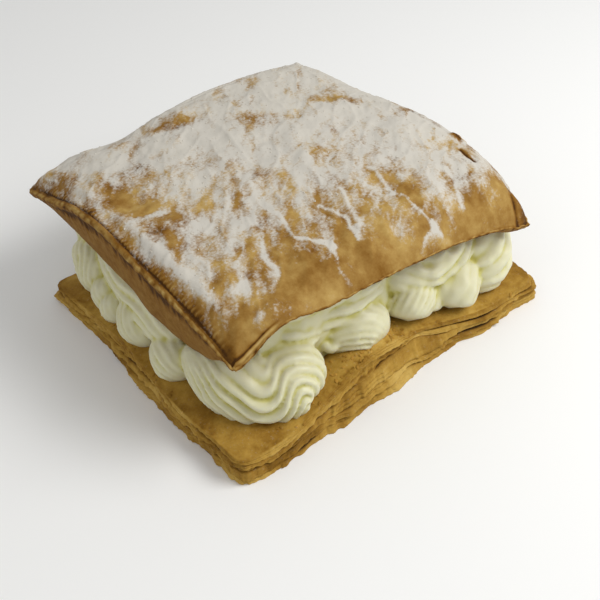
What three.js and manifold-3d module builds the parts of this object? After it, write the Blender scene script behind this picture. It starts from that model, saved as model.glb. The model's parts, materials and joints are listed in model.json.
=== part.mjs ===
// A square mille-feuille: a puff pastry base, a border of piped whipped cream round a
// cream core, and a puffed pastry lid. Millimetres, +Z up. The cake rests on Z = 0, +X runs
// along its front side to the right and +Y runs away from that side.

import * as THREE from 'three';
import { mergeVertices } from 'three/addons/utils/BufferGeometryUtils.js';
import Module from 'manifold-3d';

const wasm = await Module();
wasm.setup();

// Driving dimensions
const CAKE_HALF = 100; // half the side of the baked square, the length that insets are scaled by
const PIECE_GAP = 0.45; // room between cream and pastry, measured along the pastry's normals

// Base: a slab of puff pastry whose layers part and flare along the front side
const BASE = {
  corners: { front: [-103.5, -95.5], right: [99, -98], back: [97, 90], left: [-105, 86] },
  cornerRadius: 9,
  steps: 100,
  layers: 5,
  // how far each side stands out from the straight line between its corners, at even steps
  // from one corner to the next, anticlockwise
  bulge: {
    front: [0, 1.5, 2, 1, 1, -1, -3.5, -3.5, 1.5, 0.5],
    right: [0, 3, 2, 3, 1, 0],
    back: [0, 2, -1, 2, 3, 0],
    left: [0, -1.5, -2, 0, 1.5, 0],
  },
  thickness: {
    front: [15, 14, 15, 18, 22, 22, 18, 15, 13, 13],
    right: [13, 16, 18, 17, 16],
    back: [16, 17, 15, 9],
    left: [9, 13, 15, 14, 15],
  },
  // how far the upper crust edge stands back from the outline
  setBack: {
    front: [2, 2, 3, 7, 10, 10, 8, 4, 4, 2],
    right: [2, 4, 5, 4, 2],
    back: [2, 4, 4, 2],
    left: [2, 2, 3, 2, 2],
  },
  grooveDepth: 1.6,
  flakeRelief: 1.1,
  undercut: 2,
  topRise: 1.2,
  coreTop: 17,
};

// Lid: a puffed sheet with four pinched tips, its rim at even steps from tip to tip
const LID = {
  tips: { front: [-93, -87], right: [91.5, -93.5], back: [86, 89], left: [-96, 96] },
  bow: { front: 1, right: -1.8, back: 1, left: 0 },
  rimHeight: {
    front: [67, 78.5, 73.5, 72, 70, 67.5, 62, 56],
    right: [56, 72, 79.5, 82, 80, 77, 76.5, 73.5],
    back: [73.5, 79.5, 82, 82, 79, 73, 76, 66],
    left: [66, 75, 84, 87, 83, 80, 75, 67],
  },
  wallDrop: {
    front: [2, 2, 3, 3, 3, 3, 2, 2],
    right: [2, 8, 13, 15, 14, 13, 9, 3],
    back: [3, 9, 14, 15, 14, 13, 9, 2],
    left: [2, 14, 29, 34, 38, 35, 24, 2],
  },
  rimThickness: {
    front: [2.6, 1.8, 1.4, 1.4, 1.4, 1.6, 2.4],
    right: [2.4, 4.6, 5.2, 5.2, 4.6, 4],
    back: [4, 5, 5.2, 5, 4],
    left: [4, 5.2, 5.4, 5.4, 5.2, 4.4, 2.6],
  },
  fullThickness: 5.4, // a rim as thick as this rolls out as far as the rings below say
  // the side from the rim down: [set back mm, share of the rim's thickness, share of the drop]
  sideRings: [
    [-2, 0.45, 0],
    [0.6, 1, 0],
    [3.4, 1, 0.3],
    [4.6, 1, 0.75],
    [8, 1, 1],
  ],
  grid: 22,
  edgeFineness: 0.45,
  plateau: 88,
  plateauFall: 9,
  rollLength: 13,
  swell: 1.1,
  swellPitch: 52,
  underside: { scales: [0.62, 0.28], height: 53 },
};

// Cream: a core and a border of piped swirls. A swirl is the path of the nozzle, the girth along
// it and how far its ridges have turned at even steps along it, in radians. A pitch and depth of
// its ridges are given where they differ from the usual ones, and a droop where the ridges turn
// more below than above.
const CREAM = {
  coreHalf: 68,
  coreCorner: 16,
  coreRange: [8, 68],
  swirls: [
    // left side, from the back to the front
    {
      path: [[-79, 77, 36], [-81, 67, 28], [-83, 57, 21], [-84, 48, 15]],
      girth: [12, 13.5, 13, 5],
      turns: [0.5, 0.2, -0.5, -1.2],
    },
    { path: [[-85, 54, 23], [-88, 44, 20], [-88, 34, 16]], girth: [6, 10, 5], turns: [0.3, -0.6] },
    { path: [[-88, 41, 23], [-91, 33, 19], [-91, 25, 15]], girth: [5, 8.5, 4], turns: [0, -0.8] },
    { path: [[-84, 25, 28], [-88, 11, 22], [-88, -2, 16]], girth: [8, 12.5, 6], turns: [0.4, -0.2, -0.9] },
    {
      path: [[-74, 66, 36], [-78, 38, 35], [-80, 14, 34], [-82, -6, 33], [-82, -24, 30]],
      girth: [10, 12, 13, 13, 10],
      turns: [0.3, -0.2, 0.2, -0.3],
      pitch: 10,
    },
    { path: [[-90, -8, 24], [-88, -22, 21], [-85, -34, 18]], girth: [8, 13, 7], turns: [0.3, 0, -0.6] },
    // front corner: the large swirl that winds round it, and the tiers above
    {
      path: [
        [-84, -28, 31],
        [-80, -47, 26],
        [-74, -63, 25],
        [-65, -73, 25],
        [-53, -76, 27],
        [-47, -76, 16],
      ],
      girth: [11, 17, 20, 19, 18, 12],
      turns: [1.1, 0.9, 0.5, 0, -0.55, 0.45, -0.3, -1],
      pitch: 8.2,
      depth: 3.4,
      droop: 0.5,
      stations: 15,
    },
    {
      path: [[-60, -50, 42], [-50, -62, 40], [-38, -62, 38], [-28, -63, 36]],
      girth: [12, 14, 12, 8],
      turns: [0.4, -0.3],
      pitch: 10,
    },
    {
      path: [[-66, -40, 57], [-52, -58, 58], [-20, -62, 57], [24, -64, 55]],
      girth: [10, 12, 12, 9],
      turns: [0.4, -0.4, 0.3],
      pitch: 10,
    },
    // front side, from the left to the right
    { path: [[-36, -60, 36], [-36, -67, 26], [-35, -72, 17]], girth: [9, 7, 4.5], turns: [0, 0.7] },
    {
      path: [[-37, -61, 24], [-28, -64, 26], [-16, -68, 27], [-4, -72, 25], [3, -77, 18]],
      girth: [7, 13, 15, 14.5, 8],
      turns: [-0.1, 0.2, 0.15, -0.2],
    },
    {
      path: [[-42, -58, 44], [-26, -62, 43], [-10, -64, 43], [10, -66, 44]],
      girth: [9, 12, 12, 10],
      turns: [0.2, -0.3],
      pitch: 10,
    },
    { path: [[29, -66, 38], [25, -73, 30], [19, -79, 20]], girth: [12, 14, 12.5], turns: [0.6, -0.5] },
    {
      path: [[56, -70, 36], [51, -79, 27], [44, -84, 17]],
      girth: [13, 15, 12.5],
      turns: [0.3, -0.4],
      pitch: 11,
    },
    {
      path: [[12, -66, 45], [30, -71, 42], [50, -73, 43], [70, -71, 42]],
      girth: [9, 13, 13, 9],
      turns: [0.5, -0.5, 0.4],
      pitch: 10,
    },
    {
      path: [[77, -64, 46], [76, -72, 35], [70, -78, 24], [60, -82, 17]],
      girth: [15, 18.5, 17, 8],
      turns: [1.2, 0.3, -0.5, -1.4],
      pitch: 13,
      depth: 3,
      stations: 11,
    },
  ],
  // the sides that face away carry the same swirls at an even spacing
  farSwirls: {
    count: 10,
    inset: 73,
    first: -38,
    last: 214,
    girth: 17,
    girthSpread: 1.6,
    lean: 9,
    pitch: 12,
    stations: 7,
  },
  ridgePitch: 8,
  ridgeDepth: 2.1,
  pointsPerRidge: 2,
  stations: 8, // sections along a swirl
  endRoundness: 5,
  smallestStep: 0.25, // mm, corners that stand out less than this are left out
};

const SIDES = ['front', 'right', 'back', 'left'];

const FINISH = {
  base: { color: 0xb98f4e, roughness: 0.75 },
  cream: { color: 0xe9e6c4, roughness: 0.45 },
  lid: { color: 0xc39a5a, roughness: 0.7 },
};

// Value of a smooth curve through evenly spaced heights at t from 0 to 1
function along(heights, t) {
  const spot = Math.min(Math.max(t, 0), 1) * (heights.length - 1);
  const step = Math.min(Math.floor(spot), heights.length - 2);
  const f = spot - step;
  const before = heights[Math.max(step - 1, 0)];
  const here = heights[step];
  const next = heights[step + 1];
  const after = heights[Math.min(step + 2, heights.length - 1)];
  const slope = (next - before) / 2;
  const nextSlope = (after - here) / 2;
  const f2 = f * f;
  const f3 = f2 * f;
  return (2 * f3 - 3 * f2 + 1) * here + (f3 - 2 * f2 + f) * slope
    + (3 * f2 - 2 * f3) * next + (f3 - f2) * nextSlope;
}

// A gentle uneven wave over the plan, between about -1 and 1
function unevenness(x, y, pitch, phase) {
  const k = (2 * Math.PI) / pitch;
  return 0.5 * Math.sin(k * x + phase) * Math.cos(k * 0.8 * y - phase * 1.7)
    + 0.3 * Math.sin(k * 0.6 * (x + y) + phase * 2.3)
    + 0.2 * Math.cos(k * 1.3 * (x - 0.7 * y) - phase);
}

// A wave along the edge of one layer, between about -1 and 1, that closes on itself
function edgeWave(turn, layer) {
  const a = turn * 2 * Math.PI;
  return 0.45 * Math.sin(9 * a + layer * 2.1) + 0.35 * Math.sin(17 * a - layer * 1.3)
    + 0.2 * Math.sin(31 * a + layer * 4.7);
}

// Side and share of that side for a turn of 0 to 1 round the cake
function sideAt(turn) {
  const spot = (((turn % 1) + 1) % 1) * SIDES.length;
  const index = Math.floor(spot) % SIDES.length;
  return [SIDES[index], spot - Math.floor(spot)];
}

// Closed skin over stacked rings of equal length: a flat fan under the first ring and a
// fan above the last one
function skinRings(rings, bottomCentre, topCentre) {
  const count = rings[0].length;
  const positions = [];
  for (const ring of rings) {
    for (const point of ring) positions.push(...point);
  }
  const bottom = positions.length / 3;
  positions.push(...bottomCentre);
  const top = bottom + 1;
  positions.push(...topCentre);
  const index = [];
  for (let r = 0; r < rings.length - 1; r += 1) {
    for (let i = 0; i < count; i += 1) {
      const j = (i + 1) % count;
      const a = r * count + i;
      const b = r * count + j;
      index.push(a, b, b + count, a, b + count, a + count);
    }
  }
  const last = (rings.length - 1) * count;
  for (let i = 0; i < count; i += 1) {
    const j = (i + 1) % count;
    index.push(bottom, j, i);
    index.push(top, last + i, last + j);
  }
  return indexed(positions, index);
}

function indexed(positions, index) {
  const geometry = new THREE.BufferGeometry();
  geometry.setAttribute('position', new THREE.Float32BufferAttribute(positions, 3));
  geometry.setIndex(index);
  return geometry;
}

function toSolid(geometry) {
  const bare = geometry.clone();
  bare.deleteAttribute('normal');
  bare.deleteAttribute('uv');
  const merged = mergeVertices(bare, 1e-4);
  return new wasm.Manifold(new wasm.Mesh({
    numProp: 3,
    vertProperties: new Float32Array(merged.attributes.position.array),
    triVerts: new Uint32Array(merged.index.array),
  }));
}

function fromSolid(solid) {
  const mesh = solid.getMesh();
  const count = mesh.vertProperties.length / mesh.numProp;
  const positions = [];
  for (let i = 0; i < count; i += 1) {
    const at = i * mesh.numProp;
    positions.push(mesh.vertProperties[at], mesh.vertProperties[at + 1], mesh.vertProperties[at + 2]);
  }
  return indexed(positions, Array.from(mesh.triVerts));
}

// The same skin moved out along its normals, to cut a neighbour clear of it
function grown(geometry, distance) {
  const larger = geometry.clone();
  larger.computeVertexNormals();
  const { position, normal } = larger.attributes;
  for (let i = 0; i < position.count; i += 1) {
    position.setXYZ(
      i,
      position.getX(i) + normal.getX(i) * distance,
      position.getY(i) + normal.getY(i) * distance,
      position.getZ(i) + normal.getZ(i) * distance,
    );
  }
  return larger;
}

// Base outline: straight sides with rounded corners, as evenly spaced points with their turn
function baseOutline() {
  const path = new THREE.Path();
  const corners = SIDES.map((side) => new THREE.Vector2(...BASE.corners[side]));
  const towards = (from, to) => to.clone().sub(from).setLength(BASE.cornerRadius).add(from);
  corners.forEach((corner, i) => {
    const before = towards(corner, corners[(i + 3) % 4]);
    const after = towards(corner, corners[(i + 1) % 4]);
    if (i === 0) path.moveTo(before.x, before.y);
    else path.lineTo(before.x, before.y);
    path.quadraticCurveTo(corner.x, corner.y, after.x, after.y);
  });
  path.closePath();
  return path.getSpacedPoints(BASE.steps).slice(0, BASE.steps);
}

function basePastry() {
  const outline = baseOutline();
  const around = outline.map((point, i) => {
    const turn = i / BASE.steps;
    const [side, share] = sideAt(turn);
    const distance = point.length();
    point.setLength(distance * (1 + along(BASE.bulge[side], share) / CAKE_HALF));
    return {
      point,
      turn,
      thickness: along(BASE.thickness[side], share),
      setBack: along(BASE.setBack[side], share),
    };
  });
  const place = (at, inset, z) => {
    const scale = 1 - inset / CAKE_HALF;
    return [at.point.x * scale, at.point.y * scale, z];
  };
  const rings = [around.map((at) => place(at, BASE.undercut, 0))];
  for (let layer = 0; layer < BASE.layers; layer += 1) {
    const low = layer / BASE.layers;
    const high = (layer + 1) / BASE.layers;
    const lip = (low + high) / 2;
    rings.push(around.map((at) => {
      const flare = at.setBack * lip ** 1.5 - BASE.flakeRelief * edgeWave(at.turn, layer);
      return place(at, flare, at.thickness * (lip + 0.02 * edgeWave(at.turn, layer + 3)));
    }));
    if (layer < BASE.layers - 1) {
      rings.push(around.map((at) => {
        const groove = BASE.grooveDepth * (1 + 0.6 * edgeWave(at.turn, layer + 7));
        const flare = at.setBack * high ** 1.5 + groove;
        return place(at, flare, at.thickness * high);
      }));
    }
  }
  rings.push(around.map((at) => place(at, at.setBack + 1.5, at.thickness)));
  rings.push(around.map((at) => place(at, at.setBack + 7, at.thickness + BASE.topRise)));
  rings.push(around.map((at) => place(at, 32, BASE.coreTop)));
  return skinRings(rings, [9, 6, 0], [0, 0, BASE.coreTop]);
}

// Point of the lid's rim on one side, at a share of 0 to 1 from that side's first tip
function rimPoint(side, share) {
  const next = SIDES[(SIDES.indexOf(side) + 1) % SIDES.length];
  const start = new THREE.Vector2(...LID.tips[side]);
  const point = start.clone().lerp(new THREE.Vector2(...LID.tips[next]), share);
  const inward = point.clone().negate().normalize();
  point.addScaledVector(inward, LID.bow[side] * Math.sin(Math.PI * share));
  return new THREE.Vector3(point.x, point.y, along(LID.rimHeight[side], share));
}

// Blend of the four rim curves at u along +X and v along +Y
function rimBlend(u, v) {
  const front = rimPoint('front', u);
  const back = rimPoint('back', 1 - u);
  const left = rimPoint('left', 1 - v);
  const right = rimPoint('right', v);
  const blend = new THREE.Vector3();
  blend.addScaledVector(front, 1 - v).addScaledVector(back, v);
  blend.addScaledVector(left, 1 - u).addScaledVector(right, u);
  blend.addScaledVector(rimPoint('front', 0), -(1 - u) * (1 - v));
  blend.addScaledVector(rimPoint('front', 1), -u * (1 - v));
  blend.addScaledVector(rimPoint('back', 0), -u * v);
  blend.addScaledVector(rimPoint('back', 1), -(1 - u) * v);
  return blend;
}

// Top of the lid: it rolls up from the rim to an uneven plateau
function lidTop(u, v) {
  const point = rimBlend(u, v);
  const fromEdge = 2 * CAKE_HALF * Math.min(u, v, 1 - u, 1 - v);
  const reach = point.x * point.x + point.y * point.y;
  const plateau = LID.plateau - LID.plateauFall * (reach / (2 * CAKE_HALF * CAKE_HALF))
    + LID.swell * unevenness(point.x, point.y, LID.swellPitch, 1.3);
  const share = 1 - Math.exp(-fromEdge / LID.rollLength);
  point.z += (plateau - point.z) * share;
  return point;
}

function lidPastry() {
  const n = LID.grid;
  const spread = (i) => i / n - (LID.edgeFineness * Math.sin((2 * Math.PI * i) / n)) / (2 * Math.PI);
  const cells = [];
  for (let i = 0; i < n; i += 1) cells.push(['front', i, 0]);
  for (let j = 0; j < n; j += 1) cells.push(['right', n, j]);
  for (let i = n; i > 0; i -= 1) cells.push(['back', i, n]);
  for (let j = n; j > 0; j -= 1) cells.push(['left', 0, j]);

  const positions = [];
  for (let j = 0; j <= n; j += 1) {
    for (let i = 0; i <= n; i += 1) positions.push(...lidTop(spread(i), spread(j)).toArray());
  }
  const index = [];
  const topIndex = (i, j) => j * (n + 1) + i;
  for (let j = 0; j < n; j += 1) {
    for (let i = 0; i < n; i += 1) {
      const a = topIndex(i, j);
      const b = topIndex(i + 1, j);
      const c = topIndex(i + 1, j + 1);
      const d = topIndex(i, j + 1);
      if ((i < n / 2) === (j < n / 2)) index.push(a, b, c, a, c, d);
      else index.push(a, b, d, b, c, d);
    }
  }

  // sides and underside: rings of one point for each cell round the edge
  const shareOf = { front: (i) => spread(i), back: (i) => 1 - spread(i) };
  const edge = cells.map(([side, i, j]) => {
    const share = side === 'front' || side === 'back' ? shareOf[side](i)
      : (side === 'right' ? spread(j) : 1 - spread(j));
    return {
      rim: rimPoint(side, share),
      thickness: along(LID.rimThickness[side], share),
      drop: along(LID.wallDrop[side], share),
    };
  });
  const rings = LID.sideRings.map(([inset, rimShare, dropShare]) => edge.map((at) => {
    const roll = dropShare > 0 ? 1 : at.thickness / LID.fullThickness;
    const scale = 1 - (inset * roll) / CAKE_HALF;
    const z = at.rim.z - at.thickness * rimShare - at.drop * dropShare;
    return [at.rim.x * scale, at.rim.y * scale, z];
  }));
  const lowest = rings[rings.length - 1];
  for (const scale of LID.underside.scales) {
    rings.push(lowest.map(([x, y, z]) => [
      x * scale,
      y * scale,
      LID.underside.height + (z - LID.underside.height) * scale * scale,
    ]));
  }
  const count = cells.length;
  const firstRing = positions.length / 3;
  for (const ring of rings) {
    for (const point of ring) positions.push(...point);
  }
  const ringIndex = (r, k) => (r < 0 ? topIndex(cells[k][1], cells[k][2]) : firstRing + r * count + k);
  for (let r = -1; r < rings.length - 1; r += 1) {
    for (let k = 0; k < count; k += 1) {
      const next = (k + 1) % count;
      const a = ringIndex(r, k);
      const b = ringIndex(r, next);
      const c = ringIndex(r + 1, next);
      const d = ringIndex(r + 1, k);
      index.push(a, d, c, a, c, b);
    }
  }
  const centre = positions.length / 3;
  positions.push(0, 0, LID.underside.height);
  for (let k = 0; k < count; k += 1) {
    index.push(centre, ringIndex(rings.length - 1, (k + 1) % count), ringIndex(rings.length - 1, k));
  }
  return indexed(positions, index);
}

// Height of the lid's lower edge at the place on the rim nearest to a point near the border
function lidLowerEdge(x, y) {
  const upright = Math.abs(x) > Math.abs(y);
  let side = upright ? 'left' : 'front';
  if (upright && x > 0) side = 'right';
  if (!upright && y > 0) side = 'back';
  const travel = { front: x, right: y, back: -x, left: -y }[side];
  const share = (travel / CAKE_HALF + 1) / 2;
  const underRim = along(LID.rimHeight[side], share) - along(LID.rimThickness[side], share);
  return underRim - along(LID.wallDrop[side], share);
}

// One piped swirl: a ridged section that follows the nozzle's path, turns about it, and closes
// with a round end at both ends
function swirl(spec) {
  const { path, girth, turns, droop = 0, stations = CREAM.stations } = spec;
  const { pitch = CREAM.ridgePitch, depth = CREAM.ridgeDepth } = spec;
  const places = path.map((place) => new THREE.Vector3(...place));
  const spine = new THREE.CatmullRomCurve3(places, false, 'catmullrom', 0.5);
  const ridges = Math.round((2 * Math.PI * Math.max(...girth)) / pitch);
  const around = ridges * CREAM.pointsPerRidge;
  const outward = new THREE.Vector3(places[0].x, places[0].y, 0).normalize();
  const steep = Math.abs(spine.getTangent(0).z) > 0.8;
  let up = steep ? outward : new THREE.Vector3(0, 0, 1);
  const rings = [];
  for (let station = 1; station < stations; station += 1) {
    const t = (1 - Math.cos((Math.PI * station) / stations)) / 2;
    const centre = spine.getPoint(t);
    const ahead = spine.getTangent(t);
    const across = ahead.clone().cross(up).normalize();
    up = across.clone().cross(ahead);
    const rounding = Math.sqrt(1 - Math.abs(2 * t - 1) ** CREAM.endRoundness);
    const ring = [];
    for (let i = 0; i < around; i += 1) {
      const angle = (2 * Math.PI * i) / around;
      const groove = 1 - Math.abs(Math.sin((ridges * angle) / 2));
      const turned = angle + along(turns, t) * (1 - droop * Math.sin(angle));
      const radius = along(girth, t) * rounding - depth * rounding * rounding * groove;
      const point = centre.clone().addScaledVector(across, radius * Math.cos(turned));
      ring.push(point.addScaledVector(up, radius * Math.sin(turned)).toArray());
    }
    rings.unshift(ring);
  }
  return skinRings(rings, spine.getPoint(1).toArray(), spine.getPoint(0).toArray());
}

// Swirls on the right and back sides, from behind the right corner to the left corner
function farSwirls() {
  const { count, inset, first, last, girth, girthSpread, lean, ...ridges } = CREAM.farSwirls;
  const specs = [];
  for (let i = 0; i < count; i += 1) {
    const travel = first + ((last - first) * i) / (count - 1);
    const onRight = travel < inset;
    const [x, y] = onRight ? [inset, travel] : [2 * inset - travel, inset];
    const place = (out, aside, z) => (onRight ? [x + out, y + aside, z] : [x - aside, y + out, z]);
    const top = lidLowerEdge(x, y);
    const size = girth + girthSpread * Math.sin(2.4 * i + 1);
    const side = lean * Math.sin(1.9 * i);
    const turn = i % 2 === 0 ? 0.5 : -0.5;
    specs.push({
      path: [place(-5, -side, top - 2), place(1, 0, 0.58 * top), place(7, side, 20)],
      girth: [0.7 * size, size, 0.55 * size],
      turns: [turn, -turn],
      ...ridges,
    });
  }
  return specs;
}

function creamCore() {
  const shape = new THREE.Shape();
  const h = CREAM.coreHalf;
  const c = CREAM.coreCorner;
  shape.moveTo(-h + c, -h);
  shape.lineTo(h - c, -h);
  shape.lineTo(h, -h + c);
  shape.lineTo(h, h - c);
  shape.lineTo(h - c, h);
  shape.lineTo(-h + c, h);
  shape.lineTo(-h, h - c);
  shape.lineTo(-h, -h + c);
  const [low, high] = CREAM.coreRange;
  const geometry = new THREE.ExtrudeGeometry(shape, { depth: high - low, bevelEnabled: false });
  return geometry.translate(0, 0, low);
}

function creamFilling(base, lid) {
  let filling = toSolid(creamCore());
  for (const spec of [...CREAM.swirls, ...farSwirls()]) {
    filling = filling.add(toSolid(swirl(spec)));
  }
  filling = filling.subtract(toSolid(grown(base, PIECE_GAP)));
  filling = filling.subtract(toSolid(grown(lid, PIECE_GAP)));
  return filling.simplify(CREAM.smallestStep);
}

// The piece between the pastries, without what the cuts leave below the base or over the lid
function largestPiece(solid) {
  const pieces = solid.decompose();
  pieces.sort((a, b) => b.volume() - a.volume());
  return fromSolid(pieces[0]);
}

function named(name, geometry, finish) {
  const material = new THREE.MeshStandardMaterial({ ...finish, metalness: 0 });
  const mesh = new THREE.Mesh(geometry, material);
  mesh.name = name;
  return mesh;
}

const baseGeometry = basePastry();
const lidGeometry = lidPastry();
const creamGeometry = largestPiece(creamFilling(baseGeometry, lidGeometry));

const cake = new THREE.Group();
cake.add(named('base_pastry', baseGeometry, FINISH.base));
cake.add(named('whipped_cream', creamGeometry, FINISH.cream));
cake.add(named('lid_pastry', lidGeometry, FINISH.lid));

// the origin is the middle of the footprint, on the surface the cake stands on
const extent = new THREE.Box3().setFromObject(cake);
const middle = extent.getCenter(new THREE.Vector3());
cake.position.set(-middle.x, -middle.y, -extent.min.z);

export default cake;
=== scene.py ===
"""A square, family-size mille-feuille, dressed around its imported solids.

Three sub-assemblies are built here: the flaky base pastry, the whipped cream with its piped
swirls, and the puffed lid with its icing sugar. Loose crumbs and sugar clumps are scattered
over them. Sizes are in millimetres until a mesh is made; meshes are in metres.
"""

import json
import logging
import math
from dataclasses import dataclass, field
from enum import Enum
from itertools import product

import bpy
import numpy as np
from mathutils import Matrix, Vector

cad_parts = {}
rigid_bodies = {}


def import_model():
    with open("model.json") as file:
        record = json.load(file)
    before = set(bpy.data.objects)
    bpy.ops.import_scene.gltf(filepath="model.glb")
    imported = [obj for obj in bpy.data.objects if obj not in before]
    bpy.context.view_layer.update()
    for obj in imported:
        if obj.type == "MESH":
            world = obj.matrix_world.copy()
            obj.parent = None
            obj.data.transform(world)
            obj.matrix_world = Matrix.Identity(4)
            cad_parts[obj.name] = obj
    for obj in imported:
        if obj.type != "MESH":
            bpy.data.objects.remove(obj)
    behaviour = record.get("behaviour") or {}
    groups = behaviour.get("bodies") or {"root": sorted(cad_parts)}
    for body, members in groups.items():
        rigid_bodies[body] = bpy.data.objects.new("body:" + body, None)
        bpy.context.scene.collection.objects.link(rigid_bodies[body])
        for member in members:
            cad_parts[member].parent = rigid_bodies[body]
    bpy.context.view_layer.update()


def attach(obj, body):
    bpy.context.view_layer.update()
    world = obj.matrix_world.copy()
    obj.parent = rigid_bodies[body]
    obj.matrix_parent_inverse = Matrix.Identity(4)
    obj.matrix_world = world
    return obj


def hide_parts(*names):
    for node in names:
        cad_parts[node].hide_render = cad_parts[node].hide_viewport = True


LOG = logging.getLogger("mille-feuille")

MM = 0.001
PER_CM2 = 1e4  # one to a square centimetre, in units of one to a square metre
CAKE_HALF = 100.0  # half the baked square, the length that insets are scaled by
ORIGIN_SHIFT = (1.973, 0.932, 0.0)  # from the cake's own frame to the middle of its footprint
ROOT_BODY = "root"
FAT_AND_SUGAR_IOR = 1.45
NO_SUGAR = -0.5  # the sugar field's value where none can lie, below what the dust's noise adds
MOST_SUGAR = 1.15  # its value where the sugar lies thickest

Array = np.ndarray
Tree = bpy.types.NodeTree
Socket = bpy.types.NodeSocket


class Side(Enum):
    """The four sides of the cake, anticlockwise from the one that faces -Y."""

    FRONT = 0
    RIGHT = 1
    BACK = 2
    LEFT = 3

    @property
    def next(self) -> "Side":
        """The side that follows anticlockwise."""
        return Side((self.value + 1) % len(Side))


class Slot(Enum):
    """The material slots of the record."""

    BASE_CRUST = "base_crust"
    CREAM = "cream"
    LID_CRUST = "lid_crust"


# Curves and noise


def along(heights: list[float], share: Array) -> Array:
    """Read a smooth curve through evenly spaced heights.

    Args:
        heights: the values at even steps.
        share: where to read it, from 0 to 1.

    Returns:
        The curve's value at each share.
    """
    steps = len(heights) - 1
    values = np.array([heights[0], *heights, heights[-1]], float)
    spot = np.clip(share, 0, 1) * steps
    step = np.minimum(spot.astype(int), steps - 1)
    f = spot - step
    before, here, after, later = (values[step + k] for k in range(4))
    slope, later_slope = (after - before) / 2, (later - here) / 2
    first = np.where(step == 0, after - here, slope)
    last = np.where(step == steps - 1, after - here, later_slope)
    slope = np.where(step == 0, first / 2, slope)
    later_slope = np.where(step == steps - 1, last / 2, later_slope)
    return (
        (2 * f**3 - 3 * f**2 + 1) * here
        + (f**3 - 2 * f**2 + f) * slope
        + (3 * f**2 - 2 * f**3) * after
        + (f**3 - f**2) * later_slope
    )


def smoothstep(low: float, high: float, value: Array) -> Array:
    """Rise smoothly from 0 at low to 1 at high."""
    t = np.clip((value - low) / (high - low), 0, 1)
    return t * t * (3 - 2 * t)


def bell(value: Array, centre: float, width: float) -> Array:
    """A bump of height 1 at the centre that has faded at about twice the width."""
    return np.exp(-(((value - centre) / width) ** 2))


def noise(points: Array, pitch: float, seed: int) -> Array:
    """Smooth gradient noise in space.

    Args:
        points: places in millimetres, one row each.
        pitch: the spacing of its lattice in millimetres.
        seed: picks one pattern.

    Returns:
        About -1 to 1 for each place.
    """
    scaled = points / pitch
    cell = np.floor(scaled).astype(np.int64)
    f = scaled - cell
    weight = f**3 * (f * (f * 6 - 15) + 10)
    total = np.zeros(len(points))
    for corner in product((0, 1), repeat=3):
        at = (cell + corner).astype(np.uint64)
        mixed = (
            at[:, 0] * np.uint64(73856093)
            ^ at[:, 1] * np.uint64(19349663)
            ^ at[:, 2] * np.uint64(83492791)
            ^ np.uint64(seed * 2654435761 % 2**32)
        )
        mixed ^= mixed >> np.uint64(15)
        mixed = (mixed * np.uint64(2246822519)) & np.uint64(0xFFFFFFFF)
        mixed ^= mixed >> np.uint64(13)
        mixed = (mixed * np.uint64(3266489917)) & np.uint64(0xFFFFFFFF)
        mixed ^= mixed >> np.uint64(16)
        gradient = np.stack(
            [((mixed >> np.uint64(k)) & np.uint64(1023)).astype(float) / 511.5 - 1 for k in (0, 10, 20)],
            axis=1,
        )
        share = np.prod(np.where(np.array(corner) == 1, weight, 1 - weight), axis=1)
        total += share * (gradient * (f - corner)).sum(axis=1)
    return total * 1.5


def layered_noise(points: Array, pitch: float, octaves: int, seed: int, gain: float = 0.5) -> Array:
    """Noise at several pitches, each half the one before and weaker by the gain."""
    total = np.zeros(len(points))
    strength = 1.0
    for octave in range(octaves):
        total += strength * noise(points, pitch / 2**octave, seed + 17 * octave)
        strength *= gain
    return total


@dataclass(frozen=True)
class Grain:
    """One kind of unevenness: its pitch in mm, its octaves, its seed and its strength."""

    pitch: float
    octaves: int
    seed: int
    strength: float = 1.0
    gain: float = 0.5

    def at(self, points: Array, number: int = 0) -> Array:
        """Read it at each place. Each number gives another pattern of the same kind."""
        return self.strength * layered_noise(points, self.pitch, self.octaves, self.seed + number, self.gain)


def creases(points: Array, pitch: float, seed: int, sharpness: float = 3.0) -> Array:
    """Thin lines where noise changes sign, 1 on a line and 0 well away from it."""
    return np.exp(-np.abs(noise(points, pitch, seed)) * sharpness * 4)


def on_plane(x: Array, y: Array, z: float = 0.0) -> Array:
    """Rows of places from plan coordinates at one height."""
    return np.stack([x, y, np.full_like(x, z)], axis=1)


# Meshes


def ring_faces(rings: int, around: int, first: int = 0) -> Array:
    """Quads that join stacked rings of equal length, facing out when rings rise anticlockwise."""
    r, k = np.meshgrid(np.arange(rings - 1), np.arange(around), indexing="ij")
    here = first + r * around
    a, b = here + k, here + (k + 1) % around
    return np.stack([a, b, b + around, a + around], axis=-1).reshape(-1, 4)


def fan_faces(ring: Array, centre: int, upward: bool) -> Array:
    """Triangles from a ring's vertices to a centre vertex."""
    after = np.roll(ring, -1)
    middle = np.full(len(ring), centre)
    columns = [middle, ring, after] if upward else [middle, after, ring]
    return np.stack(columns, axis=1)


def closed_stack(
    rings: list[Array], low_end: Array | list[float], high_end: Array | list[float], flipped: bool = False,
) -> tuple[Array, list[Array]]:
    """Close stacked rings with a point at each end.

    Args:
        rings: rings of equal length, anticlockwise as seen from the high end.
        low_end: the point that closes the first ring.
        high_end: the point that closes the last ring.
        flipped: whether the rings run clockwise instead.

    Returns:
        The points and the faces of one closed skin.
    """
    points = np.concatenate([*rings, [low_end, high_end]])
    ring = np.arange(len(rings[0]))
    sides = ring_faces(len(rings), len(ring))
    return points, [
        sides[:, ::-1] if flipped else sides,
        fan_faces(ring, len(points) - 2, upward=flipped),
        fan_faces(ring + (len(rings) - 1) * len(ring), len(points) - 1, upward=not flipped),
    ]


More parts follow.
